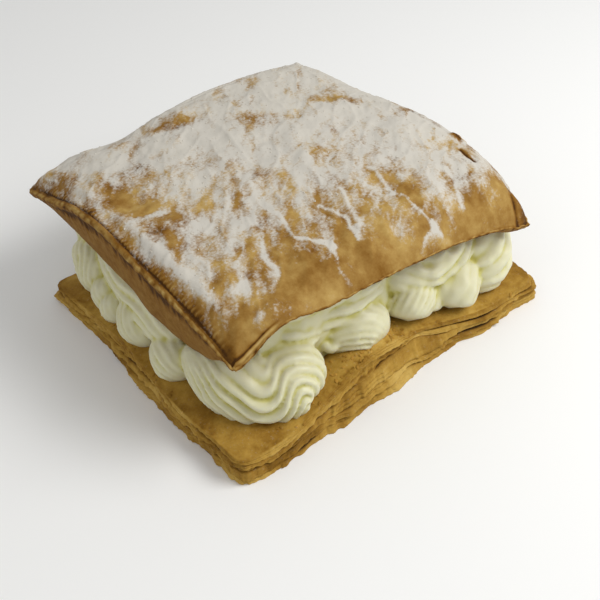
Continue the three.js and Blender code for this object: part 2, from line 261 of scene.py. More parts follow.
def make_piece(name: str, points: Array, faces: list[Array], fields: dict[str, Array]) -> bpy.types.Object:
    """Make a smooth-shaded object at the origin from millimetre points.

    Args:
        name: the piece's name.
        points: its vertices in the cake's own frame, in millimetres.
        faces: arrays of faces, three or four vertices a row.
        fields: values for each vertex, kept as attributes for the materials.

    Returns:
        The new object, linked to the scene.
    """
    mesh = bpy.data.meshes.new(name)
    rows = [face for block in faces for face in block.tolist()]
    mesh.from_pydata(((points + np.array(ORIGIN_SHIFT)) * MM).tolist(), [], rows)
    for key, values in fields.items():
        mesh.attributes.new(key, "FLOAT", "POINT").data.foreach_set("value", values.astype(np.float32))
    mesh.polygons.foreach_set("use_smooth", np.ones(len(mesh.polygons), bool))
    mesh.update()
    piece = bpy.data.objects.new(name, mesh)
    bpy.context.scene.collection.objects.link(piece)
    return piece


def vertex_places(mesh: bpy.types.Mesh) -> Array:
    """The mesh's vertices in millimetres in the cake's own frame."""
    flat = np.empty(len(mesh.vertices) * 3, np.float32)
    mesh.vertices.foreach_get("co", flat)
    return flat.reshape(-1, 3).astype(float) / MM - np.array(ORIGIN_SHIFT)


def vertex_normals(mesh: bpy.types.Mesh) -> Array:
    """The mesh's vertex normals."""
    flat = np.empty(len(mesh.vertices) * 3, np.float32)
    mesh.vertex_normals.foreach_get("vector", flat)
    return flat.reshape(-1, 3).astype(float)


def mark_hollows(mesh: bpy.types.Mesh, rounds: int, depth: float) -> None:
    """Store how far each vertex lies below its smoothed surroundings as attribute "hollow".

    Args:
        mesh: the mesh to mark.
        rounds: how many times the surroundings are averaged.
        depth: the depth in millimetres that counts as 1.
    """
    edges = np.empty(len(mesh.edges) * 2, np.int32)
    mesh.edges.foreach_get("vertices", edges)
    a, b = edges.reshape(-1, 2).T
    places = vertex_places(mesh)
    count = len(places)
    share = 1 / np.maximum(np.bincount(a, minlength=count) + np.bincount(b, minlength=count), 1)
    smooth = places.copy()
    for _ in range(rounds):
        gathered = [np.bincount(a, axis[b], count) + np.bincount(b, axis[a], count) for axis in smooth.T]
        smooth = np.stack(gathered, axis=1) * share[:, None]
    below = ((smooth - places) * vertex_normals(mesh)).sum(axis=1) / depth
    held = mesh.attributes.get("hollow") or mesh.attributes.new("hollow", "FLOAT", "POINT")
    held.data.foreach_set("value", np.clip(below, -1, 1).astype(np.float32))


# Finishes


def linear(code: str) -> tuple[float, float, float, float]:
    """Turn an sRGB hex colour such as "C8A060" into linear red, green, blue and alpha."""
    parts = [int(code[k : k + 2], 16) / 255 for k in (0, 2, 4)]
    bright = [p / 12.92 if p <= 0.04045 else ((p + 0.055) / 1.055) ** 2.4 for p in parts]
    return (*bright, 1.0)


def add_node(tree: Tree, kind: str, settings: dict | None = None, **inputs: object) -> bpy.types.Node:
    """Add a node, change its settings and fill or link its inputs.

    Args:
        tree: the tree that takes it.
        kind: the node's type name.
        settings: properties of the node itself.
        **inputs: socket names with spaces as underscores, or i0, i1 by place; a value that is
            an output socket is linked and anything else is set.

    Returns:
        The new node.
    """
    made = tree.nodes.new(kind)
    for key, value in (settings or {}).items():
        setattr(made, key, value)
    for key, value in inputs.items():
        socket = made.inputs[int(key[1:])] if key[1:].isdigit() else made.inputs[key.replace("_", " ")]
        if isinstance(value, bpy.types.NodeSocket):
            tree.links.new(value, socket)
        else:
            socket.default_value = value
    return made


def add_ramp(tree: Tree, fac: Socket, stops: tuple[tuple[float, str], ...]) -> Socket:
    """Add a colour ramp through sRGB stops and return its colour output."""
    ramp = add_node(tree, "ShaderNodeValToRGB", i0=fac)
    elements = ramp.color_ramp.elements
    while len(elements) < len(stops):
        elements.new(0.5)
    for element, (place, code) in zip(elements, stops):
        element.position = place
        element.color = linear(code)
    return ramp.outputs["Color"]


def math_node(tree: Tree, operation: str, *values: object) -> Socket:
    """Add a Math node over values or sockets and return its output."""
    inputs = {f"i{k}": value for k, value in enumerate(values)}
    return add_node(tree, "ShaderNodeMath", {"operation": operation}, **inputs).outputs[0]


def new_surface(name: str) -> tuple[bpy.types.Material, Tree, bpy.types.Node]:
    """Make a material and return it with its tree and its Principled shader."""
    material = bpy.data.materials.new(name)
    material.use_nodes = True
    tree = material.node_tree
    return material, tree, tree.nodes["Principled BSDF"]


def read_field(tree: Tree, name: str) -> Socket:
    """Read a vertex attribute in a material."""
    return add_node(tree, "ShaderNodeAttribute", {"attribute_name": name}).outputs["Fac"]


def surface_noise(tree: Tree, size: float, detail: float) -> Socket:
    """Noise over Object coordinates whose features are about size millimetres wide."""
    place = add_node(tree, "ShaderNodeTexCoord").outputs["Object"]
    scale = 1 / (size * MM)
    made = add_node(tree, "ShaderNodeTexNoise", Vector=place, Scale=scale, Detail=detail, Roughness=0.6)
    return made.outputs["Fac"]


def varied(tree: Tree, pattern: Socket, strength: float, base: Socket) -> Socket:
    """Add a pattern that runs from 0 to 1 to a base, at a strength and about its middle."""
    return math_node(tree, "MULTIPLY_ADD", math_node(tree, "SUBTRACT", pattern, 0.5), strength, base)


@dataclass(frozen=True)
class PuffPastry:
    """Baked puff pastry: egg-free wheat dough in butter layers, dry and matt, browned where
    the oven reached it first and pale between the leaves. Its hollows get painted shade."""

    name: str
    # the colours over bake and painted shade, from pale to dark
    browning_and_shade: tuple[tuple[float, str], ...]
    sugar: str = "CAC6BC"
    fleck_size: float = 4.5  # uneven browning, mm
    fleck_strength: float = 0.5
    grain_size: float = 1.1  # pores and blisters of the crust, mm
    grain_strength: float = 0.18
    hollow_shade: float = 0.45  # painted shade: how much darker a hollow is drawn
    dust_size: float = 1.4  # heaps of sieved sugar, as coarse as the picture can show, mm
    dust_strength: float = 1.3
    covered: tuple[float, float] = (0.08, 0.98)  # sugar that starts to show, and that hides the crust
    most_cover: float = 0.94
    crust_roughness: float = 0.7
    sugar_roughness: float = 0.92
    relief: float = 0.22  # height of the crust's grain, mm
    relief_strength: float = 0.6
    heap_relief: float = 0.8  # height of the sugar's heaps, over that of the grain
    gloss: float = 0.12  # low, as the crust is dry and its pores scatter light

    def material(self) -> bpy.types.Material:
        """Build the material. It reads the bake, sugar and hollow fields, and darkens hollows as painted
        shade.
        """
        made, tree, shader = new_surface(self.name)
        fleck = surface_noise(tree, self.fleck_size, 5)
        grain = surface_noise(tree, self.grain_size, 4)
        bake_and_shade = varied(tree, fleck, self.fleck_strength, read_field(tree, "bake_and_shade"))
        bake_and_shade = varied(tree, grain, self.grain_strength, bake_and_shade)
        # painted shade: the crust is drawn darker in its hollows, where shade falls
        hollow = math_node(tree, "MAXIMUM", read_field(tree, "hollow"), 0.0)
        bake_and_shade = math_node(tree, "MULTIPLY_ADD", hollow, self.hollow_shade, bake_and_shade)
        crust = add_ramp(tree, bake_and_shade, self.browning_and_shade)

        dust = surface_noise(tree, self.dust_size, 3)
        heaped = varied(tree, dust, self.dust_strength, read_field(tree, "sugar"))
        thinnest, thickest = self.covered
        cover = add_node(
            tree, "ShaderNodeMapRange", {"interpolation_type": "SMOOTHSTEP"},
            Value=heaped, From_Min=thinnest, From_Max=thickest,
        ).outputs["Result"]
        cover = math_node(tree, "MULTIPLY", cover, self.most_cover)
        colour = add_node(
            tree, "ShaderNodeMix", {"data_type": "RGBA"}, i0=cover, i6=crust, i7=linear(self.sugar),
        ).outputs[2]
        rough = add_node(
            tree, "ShaderNodeMapRange", Value=cover, To_Min=self.crust_roughness, To_Max=self.sugar_roughness,
        ).outputs["Result"]
        heaps = math_node(tree, "MULTIPLY", cover, self.heap_relief)
        bump = add_node(
            tree, "ShaderNodeBump", Strength=self.relief_strength, Distance=self.relief * MM,
            Height=math_node(tree, "MULTIPLY_ADD", dust, heaps, grain),
        )
        tree.links.new(colour, shader.inputs["Base Color"])
        tree.links.new(rough, shader.inputs["Roughness"])
        tree.links.new(bump.outputs[0], shader.inputs["Normal"])
        shader.inputs["IOR"].default_value = FAT_AND_SUGAR_IOR
        shader.inputs["Specular IOR Level"].default_value = self.gloss
        return made


@dataclass(frozen=True)
class WhippedDairyCream:
    """Sweetened dairy cream, whipped stiff and piped: smooth, slightly wet and translucent,
    ivory on its ridges, with painted shade that turns it darker and yellower down each groove."""

    name: str = "whipped_dairy_cream"
    # painted shade, from a ridge's crest to the bottom of a groove
    groove_shade_tones: tuple[tuple[float, str], ...] = (
        (0.0, "D8D5B4"), (0.4, "D3CFA8"), (0.68, "CBC583"), (1.0, "B8AE4C"))
    crest: float = -0.5  # the hollow field's value there
    bubble_size: float = 1.6  # mm
    relief: float = 0.05  # mm
    relief_strength: float = 0.5
    roughness: float = 0.42
    scattered: float = 0.35  # share of the light that passes through its surface
    scatter_depth: float = 2.5  # mm
    scatter_reach: tuple[float, float, float] = (1.0, 0.9, 0.45)  # fat takes up blue first

    def material(self) -> bpy.types.Material:
        """Build the material. It reads the field "hollow", which paints shade into the grooves."""
        made, tree, shader = new_surface(self.name)
        hollow = read_field(tree, "hollow")
        bubbles = surface_noise(tree, self.bubble_size, 2)
        depth = add_node(tree, "ShaderNodeMapRange", Value=hollow, From_Min=self.crest, From_Max=1.0)
        tone = add_ramp(tree, depth.outputs["Result"], self.groove_shade_tones)
        bump = add_node(
            tree, "ShaderNodeBump", Strength=self.relief_strength, Distance=self.relief * MM, Height=bubbles,
        )
        tree.links.new(tone, shader.inputs["Base Color"])
        tree.links.new(bump.outputs[0], shader.inputs["Normal"])
        shader.inputs["Roughness"].default_value = self.roughness
        shader.inputs["IOR"].default_value = FAT_AND_SUGAR_IOR
        shader.inputs["Subsurface Weight"].default_value = self.scattered
        shader.inputs["Subsurface Scale"].default_value = self.scatter_depth * MM
        shader.inputs["Subsurface Radius"].default_value = self.scatter_reach
        return made


# Base pastry


@dataclass(frozen=True)
class Gape:
    """A place where two leaves stand apart: which gap, counted from below, where round the
    slab in sides from the front corner, how far along, and how high and deep in mm."""

    gap: int
    turn: float
    reach: float
    height: float
    depth: float


@dataclass(frozen=True)
class SlabEdge:
    """The side of the slab at every step round it, lengths in mm. The levels and the last
    three have a row for each border between leaves, from below."""

    outline: Array  # plan points
    height: Array
    back: Array  # how far the top is set back
    walk: Array  # the way round, in sides from the front corner
    broadness: Array  # 1 where the broad leaf is broadest
    levels: Array  # heights of the borders, as shares of the height
    flaring: Array  # 1 where the leaves step out like stairs
    gape: Array  # 1 where the leaves stand apart
    extra_height: Array  # the same at the marked gapes
    extra_depth: Array


@dataclass
class RingStack:
    """Rings stacked from below round a side, and how far each is baked, with painted shade in its gaps and
    grooves.
    """

    outline: Array
    rings: list[Array] = field(default_factory=list)
    bakes: list[Array] = field(default_factory=list)

    def add(self, inset: Array, z: Array, bake_and_shade: Array) -> None:
        """Add a ring at a height, drawn in from the outline by the inset in mm."""
        self.rings.append(np.column_stack([self.outline * (1 - inset / CAKE_HALF)[:, None], z]))
        self.bakes.append(bake_and_shade)


@dataclass
class BasePastry:
    """The lower slab of puff pastry, with leaves that part and flare along its sides."""

    corners: dict[Side, tuple[float, float]] = field(default_factory=lambda: {
        Side.FRONT: (-103.5, -95.5), Side.RIGHT: (99, -98),
        Side.BACK: (97, 90), Side.LEFT: (-105, 86)})
    bulge: dict[Side, list[float]] = field(default_factory=lambda: {
        Side.FRONT: [0, 1.5, 2, 1, 1, -1, -3.5, -3.5, 1.5, 0.5], Side.RIGHT: [0, 3, 2, 3, 1, 0],
        Side.BACK: [0, 2, -1, 2, 3, 0], Side.LEFT: [0, -1.5, -2, 0, 1.5, 0]})
    thickness: dict[Side, list[float]] = field(default_factory=lambda: {
        Side.FRONT: [15, 14, 15, 18, 22, 22, 18, 15, 13, 13], Side.RIGHT: [13, 16, 18, 17, 16],
        Side.BACK: [16, 17, 15, 9], Side.LEFT: [9, 13, 15, 14, 15]})
    set_back: dict[Side, list[float]] = field(default_factory=lambda: {
        Side.FRONT: [2, 2, 3, 7, 10, 10, 8, 4, 4, 2], Side.RIGHT: [2, 4, 5, 4, 2],
        Side.BACK: [2, 4, 4, 2], Side.LEFT: [2, 2, 3, 2, 2]})
    corner_radius: float = 9.0
    steps: int = 1150
    step_length: float = 0.68  # by which noise is spread round the slab, mm
    leaves: int = 5
    layers_in_leaf: int = 3
    # the side of one thin layer: where up its height, and how deep the groove is there
    layer_rings: tuple[tuple[float, float], ...] = ((0.12, 0.0), (0.5, -0.15), (0.88, 0.0), (1.0, 1.0))
    core_top: float = 17.0
    top_rise: float = 1.2  # how much the top rises within its edge, mm
    undercut: float = 1.6
    opening: float = 1.8  # how high the gaps under the leaves gape, mm
    widest_opening: float = 0.62  # share of a leaf's thickness that its gaps may take
    flaring_from: tuple[float, float] = (2.5, 8.0)  # set back from and to which leaves step out
    top_leaf_looseness: float = 0.3  # how ragged the top leaf is, over the others
    top_rings: tuple[float, ...] = (0.7, 1.6, 2.8, 4.4, 6.5, 9, 11.5, 14.5, 18, 22, 27, 33)
    crumbed_rings: tuple[int, int] = (-3, 7)  # rings from the top's edge on which crumbs lie
    gapes: tuple[Gape, ...] = (
        Gape(3, 0.915, 0.035, 3.8, 4.5), Gape(2, 0.79, 0.05, 2.6, 4.0), Gape(1, 0.62, 0.06, 2.4, 4.0),
        Gape(3, 0.3, 0.05, 2.0, 3.5), Gape(2, 0.14, 0.05, 1.8, 3.0), Gape(2, 3.62, 0.06, 1.8, 3.0),
        Gape(3, 1.35, 0.07, 2.6, 4.0), Gape(2, 2.4, 0.08, 2.4, 4.0),
    )
    broad_leaf: tuple[int, float, float] = (2, 0.68, 0.17)  # which leaf, where, and how far along
    broadening: float = 3.6
    # where the top's edge is torn and crumbly: where round, how far along, and how much
    torn_places: tuple[tuple[float, float, float], ...] = ((0.52, 0.16, 1.0), (0.85, 0.1, 0.35))
    weighting: Grain = Grain(52, 2, 40, 1.8)  # how thick the leaves are
    gaping: Grain = Grain(40, 2, 120)  # where they stand apart
    reaching: Grain = Grain(42, 2, 70, 1.9)  # how far they reach out, mm
    rippling: Grain = Grain(9, 3, 90, 0.8)
    fraying: Grain = Grain(4.5, 3, 100)
    terracing: Grain = Grain(30, 1, 140, 0.8)
    leaf_browning: Grain = Grain(34, 3, 150, 0.45)
    calming: Grain = Grain(60, 1, 160)  # where a leaf's side is smooth
    grooving: Grain = Grain(11, 2, 170, 0.5)  # how deep the grooves between layers are, mm
    stepping: Grain = Grain(15, 2, 200, 0.5)
    chipping: Grain = Grain(3.6, 2, 230, 0.6)
    top_browning: Grain = Grain(24, 3, 200, 0.2)
    torn_spots: Grain = Grain(14, 1, 260)
    top_relief: Grain = Grain(13, 3, 31, 0.55)
    torn_relief: Grain = Grain(3.4, 2, 33)
    top_fleck: Grain = Grain(22, 1, 8, 0.25)

    def outline(self) -> Array:
        """Evenly spaced plan points round the slab, with its corners rounded."""
        corners = [np.array(self.corners[side], float) for side in Side]
        path: list[Array] = []
        t = np.linspace(0, 1, 12)[:, None]
        for k, corner in enumerate(corners):
            ends = []
            for other in (corners[k - 1], corners[(k + 1) % 4]):
                away = other - corner
                ends.append(corner + away * self.corner_radius / np.linalg.norm(away))
            path.extend((1 - t) ** 2 * ends[0] + 2 * t * (1 - t) * corner + t**2 * ends[1])
        closed = np.array([*path, path[0]])
        travel = np.concatenate([[0], np.cumsum(np.linalg.norm(np.diff(closed, axis=0), axis=1))])
        spots = np.arange(self.steps) / self.steps * travel[-1]
        return np.stack([np.interp(spots, travel, closed[:, k]) for k in range(2)], axis=1)

    def around(self, values: dict[Side, list[float]]) -> Array:
        """Read one of the side lists at every step round the slab."""
        spot = np.arange(self.steps) / self.steps * len(Side)
        side, share = spot.astype(int), spot - spot.astype(int)
        return np.choose(side, [along(values[s], share) for s in Side])

    def edge_noise(self, grain: Grain, number: int = 0) -> Array:
        """Read one kind of unevenness at every step round the slab."""
        turn = np.arange(self.steps) / self.steps * 2 * np.pi
        reach = self.steps * self.step_length / (2 * np.pi)
        slice_height = (grain.seed + number) * 3.7  # mm, so that each pattern has its own slice
        return grain.at(on_plane(np.cos(turn) * reach, np.sin(turn) * reach, slice_height), number)

    def edge(self) -> SlabEdge:
        """Work out the side at every step round the slab."""
        outline = self.outline() * (1 + self.around(self.bulge) / CAKE_HALF)[:, None]
        back = self.around(self.set_back)
        walk = np.arange(self.steps) / self.steps * len(Side)
        weights = np.stack([np.exp(self.edge_noise(self.weighting, k)) for k in range(self.leaves)])
        broad, centre, reach = self.broad_leaf
        broadness = bell(walk, centre, reach)
        weights[broad] *= 1 + self.broadening * broadness
        levels = np.concatenate([np.zeros((1, self.steps)), np.cumsum(weights, axis=0)]) / weights.sum(axis=0)
        borders = range(self.leaves + 1)
        gape = np.stack([smoothstep(-0.2, 0.7, self.edge_noise(self.gaping, k)) for k in borders])
        gape[0] = gape[-1] = 0
        extra_height, extra_depth = np.zeros_like(gape), np.zeros_like(gape)
        for mark in self.gapes:
            extra_height[mark.gap] += mark.height * bell(walk, mark.turn, mark.reach)
            extra_depth[mark.gap] += mark.depth * bell(walk, mark.turn, mark.reach)
        flaring = smoothstep(*self.flaring_from, back)
        height = self.around(self.thickness)
        gapes = (gape, extra_height, extra_depth)
        return SlabEdge(outline, height, back, walk, broadness, levels, flaring, *gapes)

    def add_leaf(self, stack: RingStack, edge: SlabEdge, leaf: int) -> None:
        """Add the side of one leaf, and the gap over it.

        Args:
            stack: the rings so far.
            edge: the side of the slab.
            leaf: the leaf's number from below.
        """
        low, high = edge.levels[leaf] * edge.height, edge.levels[leaf + 1] * edge.height
        widest = self.widest_opening * (high - low)
        opened = self.opening * edge.gape + edge.extra_height
        low = low + np.minimum(opened[leaf], widest) / 2
        high = high - np.minimum(opened[leaf + 1], widest) / 2
        top_leaf = leaf == self.leaves - 1
        frayed = 0.9 * np.clip(self.edge_noise(self.fraying, leaf), -0.2, 1)
        reach = self.edge_noise(self.reaching, leaf) + self.edge_noise(self.rippling, leaf) + frayed
        reach = reach * (self.top_leaf_looseness if top_leaf else 1)
        terrace = (0.8 + 2.4 * edge.flaring) * (1 + self.edge_noise(self.terracing, leaf))
        bake_and_shade = 0.36 + self.edge_noise(self.leaf_browning, leaf)
        calm = smoothstep(-0.35, 0.25, self.edge_noise(self.calming, leaf))
        if leaf == self.broad_leaf[0]:
            calm = np.maximum(calm, np.minimum(1.5 * edge.broadness, 1))
            # painted shade: the broad leaf lies under the overhang of the leaf above and is drawn darker
            bake_and_shade = bake_and_shade + 0.14 * edge.broadness
        for layer in range(self.layers_in_leaf):
            number = self.leaves * leaf + layer
            grooves = (0.36 + self.edge_noise(self.grooving, number)) * (1 - 0.9 * calm)
            steps = self.edge_noise(self.stepping, number) + self.edge_noise(self.chipping, number)
            for share, groove in self.layer_rings:
                part = (layer + share) / self.layers_in_leaf
                under_gap = layer == self.layers_in_leaf - 1 and groove == 1
                cut = groove * grooves * (0 if under_gap else 1)
                inset = edge.back * (high / edge.height) ** 1.5 - terrace * (1 - part) - reach + cut
                inset = inset + steps * (1 - 0.8 * calm)
                if leaf == 0 and layer == 0:
                    inset = inset + 0.4 * self.undercut * (1 - part * self.layers_in_leaf) ** 2
                # painted shade: each groove between layers is drawn darker in step with how deep it is cut
                stack.add(inset, low + (high - low) * part, bake_and_shade + 0.1 * part + 0.25 * cut)
        if not top_leaf:
            border = edge.levels[leaf + 1] * edge.height
            gape, extra_depth = edge.gape[leaf + 1], edge.extra_depth[leaf + 1]
            deep = edge.back * (border / edge.height) ** 1.5 + 0.8
            deep = deep + (1.7 + 2.3 * edge.flaring) * gape + extra_depth
            # painted shade: the gaps between leaves are drawn darker, the more so the wider and deeper they
            # gape
            shade = bake_and_shade + 0.15 + 0.35 * gape + 0.06 * extra_depth
            roof = high * 0.7 + border * 0.3
            stack.add(deep, roof, shade)
            stack.add(deep, 2 * border - roof, shade)

    def add_top(self, stack: RingStack, edge: SlabEdge) -> Array:
        """Add the top round the cream.

        Args:
            stack: the rings so far.
            edge: the side of the slab.

        Returns:
            How torn and crumbly the top's edge is at every step.
        """
        crust = 0.5 + self.edge_noise(self.top_browning)
        torn = 0.12 + 0.2 * smoothstep(0.2, 0.6, self.edge_noise(self.torn_spots))
        for centre, reach, strength in self.torn_places:
            torn = torn + strength * bell(edge.walk, centre, reach)
        for inset in self.top_rings:
            settle = smoothstep(10, 33, inset)  # from the edge's height down to the core's
            brim = edge.height + self.top_rise * smoothstep(0, 9, inset)
            z = brim * (1 - settle) + self.core_top * settle
            plan = on_plane(*(edge.outline * (1 - (edge.back + inset) / CAKE_HALF)[:, None]).T)
            crumbly = torn * self.torn_relief.at(plan) * (1 - smoothstep(5, 10, inset))
            z = z + self.top_relief.at(plan) * smoothstep(0, 4, inset) + 0.6 * crumbly
            bake_and_shade = crust - 0.2 * torn - 0.2 * crumbly + self.top_fleck.at(plan)
            stack.add(edge.back + inset + 0.5 * crumbly, z, bake_and_shade)
        return torn

    def build(self) -> bpy.types.Object:
        """Build the slab.

        Returns:
            The base as one closed mesh with its bake, sugar and crumbs fields.
        """
        edge = self.edge()
        stack = RingStack(edge.outline)
        ones = np.ones(self.steps)
        stack.add(self.undercut * ones, 0 * ones, 0.85 * ones)
        for leaf in range(self.leaves):
            self.add_leaf(stack, edge, leaf)
        torn = self.add_top(stack, edge)
        crumbs = np.zeros((len(stack.rings), self.steps))
        first, last = (len(stack.rings) - len(self.top_rings) + k for k in self.crumbed_rings)
        crumbs[first:last] = torn
        points, faces = closed_stack(stack.rings, [0, 0, 0], [0, 0, self.core_top])
        bake_and_shade = np.concatenate([*stack.bakes, [0.7, 0.5]])
        fields = {"bake_and_shade": bake_and_shade, "sugar": 0 * bake_and_shade, "crumbs": np.concatenate([crumbs.ravel(), [0, 0]])}
        piece = make_piece("base_pastry_flaky", points, faces, fields)
        mark_hollows(piece.data, rounds=6, depth=1.0)
        return piece

    def finish(self) -> PuffPastry:
        """The crust of the base."""
        return PuffPastry(
            "puff_pastry_base",
            ((0.0, "C6A558"), (0.35, "AE893C"), (0.6, "8E6824"), (0.85, "624310"), (1.0, "3D2809")),
        )

    def dress(self) -> bpy.types.Object:
        """Build the base, give it its finish and tie it to its solid."""
        piece = self.build()
        piece.data.materials.append(self.finish().material())
        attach(piece, ROOT_BODY)
        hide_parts("base_pastry")
        return piece


# Lid pastry


@dataclass(frozen=True)
class Patch:
    """An oval on the lid where more or less sugar lies: centre, half sizes in mm, turn in
    degrees, and strength, below zero where the crust is bare."""

    x: float
    y: float
    long: float
    short: float
    turn: float
    strength: float

    def cover(self, x: Array, y: Array) -> Array:
        """How much sugar the patch adds at each place."""
        a = math.radians(self.turn)
        u = ((x - self.x) * math.cos(a) + (y - self.y) * math.sin(a)) / self.long
        v = ((y - self.y) * math.cos(a) - (x - self.x) * math.sin(a)) / self.short
        return self.strength * np.exp(-((u * u + v * v) ** 1.5))


@dataclass(frozen=True)
class Streak:
    """A thin wandering line on the lid: its way in mm, its half width and its strength."""

    path: tuple[tuple[float, float], ...]
    width: float = 1.25
    strength: float = 0.68

    def cover(self, x: Array, y: Array) -> Array:
        """How strong the line is at each place."""
        nearest = np.full_like(x, np.inf)
        for (x0, y0), (x1, y1) in zip(self.path, self.path[1:]):
            run, rise = x1 - x0, y1 - y0
            t = np.clip(((x - x0) * run + (y - y0) * rise) / (run**2 + rise**2), 0, 1)
            nearest = np.minimum(nearest, np.hypot(x - x0 - t * run, y - y0 - t * rise))
        return self.strength * bell(nearest, 0, self.width)


@dataclass
class LidPastry:
    """The puffed upper sheet: four pinched tips, a rim that rises and falls, and sugar."""

    tips: dict[Side, tuple[float, float]] = field(default_factory=lambda: {
        Side.FRONT: (-93, -87), Side.RIGHT: (91.5, -93.5),
        Side.BACK: (86, 89), Side.LEFT: (-96, 96)})
    bow: dict[Side, float] = field(default_factory=lambda: {
        Side.FRONT: 1, Side.RIGHT: -1.8, Side.BACK: 1, Side.LEFT: 0})
    rim_height: dict[Side, list[float]] = field(default_factory=lambda: {
        Side.FRONT: [67, 78.5, 73.5, 72, 70, 67.5, 62, 53],
        Side.RIGHT: [53, 72, 79.5, 82, 80, 77, 76.5, 73.5],
        Side.BACK: [73.5, 79.5, 82, 82, 79, 73, 76, 68],
        Side.LEFT: [68, 75, 84, 87, 83, 80, 75, 67]})
    wall_drop: dict[Side, list[float]] = field(default_factory=lambda: {
        Side.FRONT: [2, 2, 3, 3, 3, 3, 2, 2], Side.RIGHT: [2, 8, 13, 15, 14, 13, 9, 3],
        Side.BACK: [3, 9, 14, 15, 14, 13, 9, 2], Side.LEFT: [2, 14, 29, 34, 38, 35, 24, 2]})
    rim_thickness: dict[Side, list[float]] = field(default_factory=lambda: {
        Side.FRONT: [2.6, 1.8, 1.4, 1.4, 1.4, 1.6, 2.4], Side.RIGHT: [2.4, 4.6, 5.2, 5.2, 4.6, 4],
        Side.BACK: [4, 5, 5.2, 5.2, 5.4], Side.LEFT: [5.4, 5.3, 5.4, 5.4, 5.2, 4.4, 2.6]})
    full_thickness: float = 5.4  # of a rim that stands out by the whole of the insets below, mm
    # the side from the rim down: set back mm, share of the rim's thickness, share of the drop
    side_rings: tuple[tuple[float, float, float], ...] = (
        (-0.9, 0.08, 0), (-1.7, 0.22, 0), (-2.0, 0.42, 0), (-1.7, 0.62, 0), (-1.0, 0.84, 0), (-0.1, 1, 0.02),
        (0.6, 1, 0.12), (1.2, 1, 0.3), (2.0, 1, 0.52), (3.2, 1, 0.75), (5.0, 1, 0.92), (8, 1, 1))
    lip_rings: int = 2  # of those, how many are the pale lip
    bluntness: float = 1.3  # how far the tips are drawn in, mm
    grid: int = 268
    edge_fineness: float = 0.2
    plateau: float = 88.0
    plateau_fall: float = 9.0
    roll_length: float = 13.0
    swell: float = 1.1
    swell_pitch: float = 52.0
    underside_scales: tuple[float, ...] = (0.62, 0.28)
    underside_height: float = 53.0
    front_fold: tuple[float, float] = (0.16, 0.09)  # shares of the front side where a fold fades in
    pleat_pitch: float = 2.7
    sugar_depth: float = 0.15
    sugar_way: tuple[float, float] = (0.593, 0.805)  # the way in plan in which the sugar thickens
    sugar_from: tuple[float, float] = (-82.0, 36.0)  # from where to where along it, mm
    patches: tuple[Patch, ...] = (
        # bare places, from the back to the front
        Patch(-93, 92, 9, 9, 0, -0.6), Patch(-92, 72, 12, 7, 0, -0.5), Patch(-20, 71, 17, 7, -10, -0.75),
        Patch(20, 39, 18, 6, -35, -0.34), Patch(62, 29, 17, 5, -45, -0.62), Patch(-74, 24, 19, 7, -82, -0.7),
        Patch(-69, 1, 8, 4, 0, -0.3), Patch(30, -53, 14, 6, -80, -0.45), Patch(67, -61, 14, 10, -45, -0.14),
        Patch(-40, -76, 17, 10, -20, -0.7), Patch(28, -80, 16, 8, 0, -0.06), Patch(-88, -84, 13, 12, 0, -0.6),
        Patch(60, -85, 15, 8, 15, -0.75), Patch(-8, -86, 28, 9, 0, -0.6), Patch(84, -88, 10, 12, 0, -0.6),
        # heaped places
        Patch(-13, 43, 26, 15, -45, 0.2), Patch(-73, 6, 10, 2.2, -12, 0.6), Patch(0, 4, 17, 12, -45, 0.22),
        Patch(-57, -10, 17, 10, -45, 0.26), Patch(-14, -24, 18, 12, -30, 0.25),
        Patch(-84, -29, 36, 4.9, -88, 1.05), Patch(-50, -30, 25, 17, -30, 0.5),
        Patch(-75, -39, 15, 4, -88, 0.6), Patch(55, -60, 24, 14, -60, 0.16),
        Patch(-67, -60, 14, 4.5, 65, 0.7), Patch(-34, -64, 18, 11, -45, 0.24),
        Patch(-61, -66, 8, 3, 75, 0.5), Patch(-73, -79, 3.5, 2.5, 0, 0.6),
    )
    streaks: tuple[Streak, ...] = (
        Streak(((-26, -20), (-26, -36), (-31, -52), (-26, -60), (-21, -70))),
        Streak(((-7, -43), (-3, -55), (-5, -63), (-9, -73))),
        Streak(((-24, -63), (-22, -70), (-26, -82), (-27, -91)), 1.7, 0.85),
        Streak(((28, -62), (29, -80), (32, -87))), Streak(((30, -83), (18, -89)), 1.7),
        Streak(((33, -36), (26, -59)), 1.3), Streak(((-46, -48), (-52, -66), (-60, -74)), 1.6, 0.6),
        Streak(((8, -40), (2, -58), (-9, -74)), 1.3, 0.5),
        Streak(((64, -50), (58, -70), (50, -82)), 1.4, 0.5),
    )
    slit: Streak = Streak(((82.5, -50), (80.5, -57), (80, -62)), 1.15, 1.0)
    tip_fold: Streak = Streak(((87, -79), (83, -86), (82, -93)), 1.2, 1.0)
    scorched_nub: Patch = Patch(89.5, -39.5, 3.8, 2.6, -80, 1.0)
    sugar_wander: Grain = Grain(12, 2, 71, 2.4)  # how far the marks' edges wander, mm
    sugar_drift: Grain = Grain(38, 1, 5, 15)
    sugar_heaps: Grain = Grain(9, 3, 61, 0.55, 0.65)
    sugar_clouds: Grain = Grain(26, 1, 63, 0.2)
    bare_places: Grain = Grain(24, 1, 69)  # where thin bare lines run through the sugar
    veined_places: Grain = Grain(16, 1, 67)  # where thin veins of sugar run over the crust
    blisters: Grain = Grain(30, 2, 11, 1.25)  # relief of the top, mm
    small_blisters: Grain = Grain(12, 2, 12, 0.6)
    wrinkles: Grain = Grain(4.8, 2, 22, 0.3)
    pores: Grain = Grain(2.2, 2, 23, 0.07)
    broad_browning: Grain = Grain(30, 2, 81, 0.24)
    fine_browning: Grain = Grain(13, 3, 83, 0.26)
    leafy_rim: Grain = Grain(5, 2, 33, 0.4)  # relief of the rim, mm
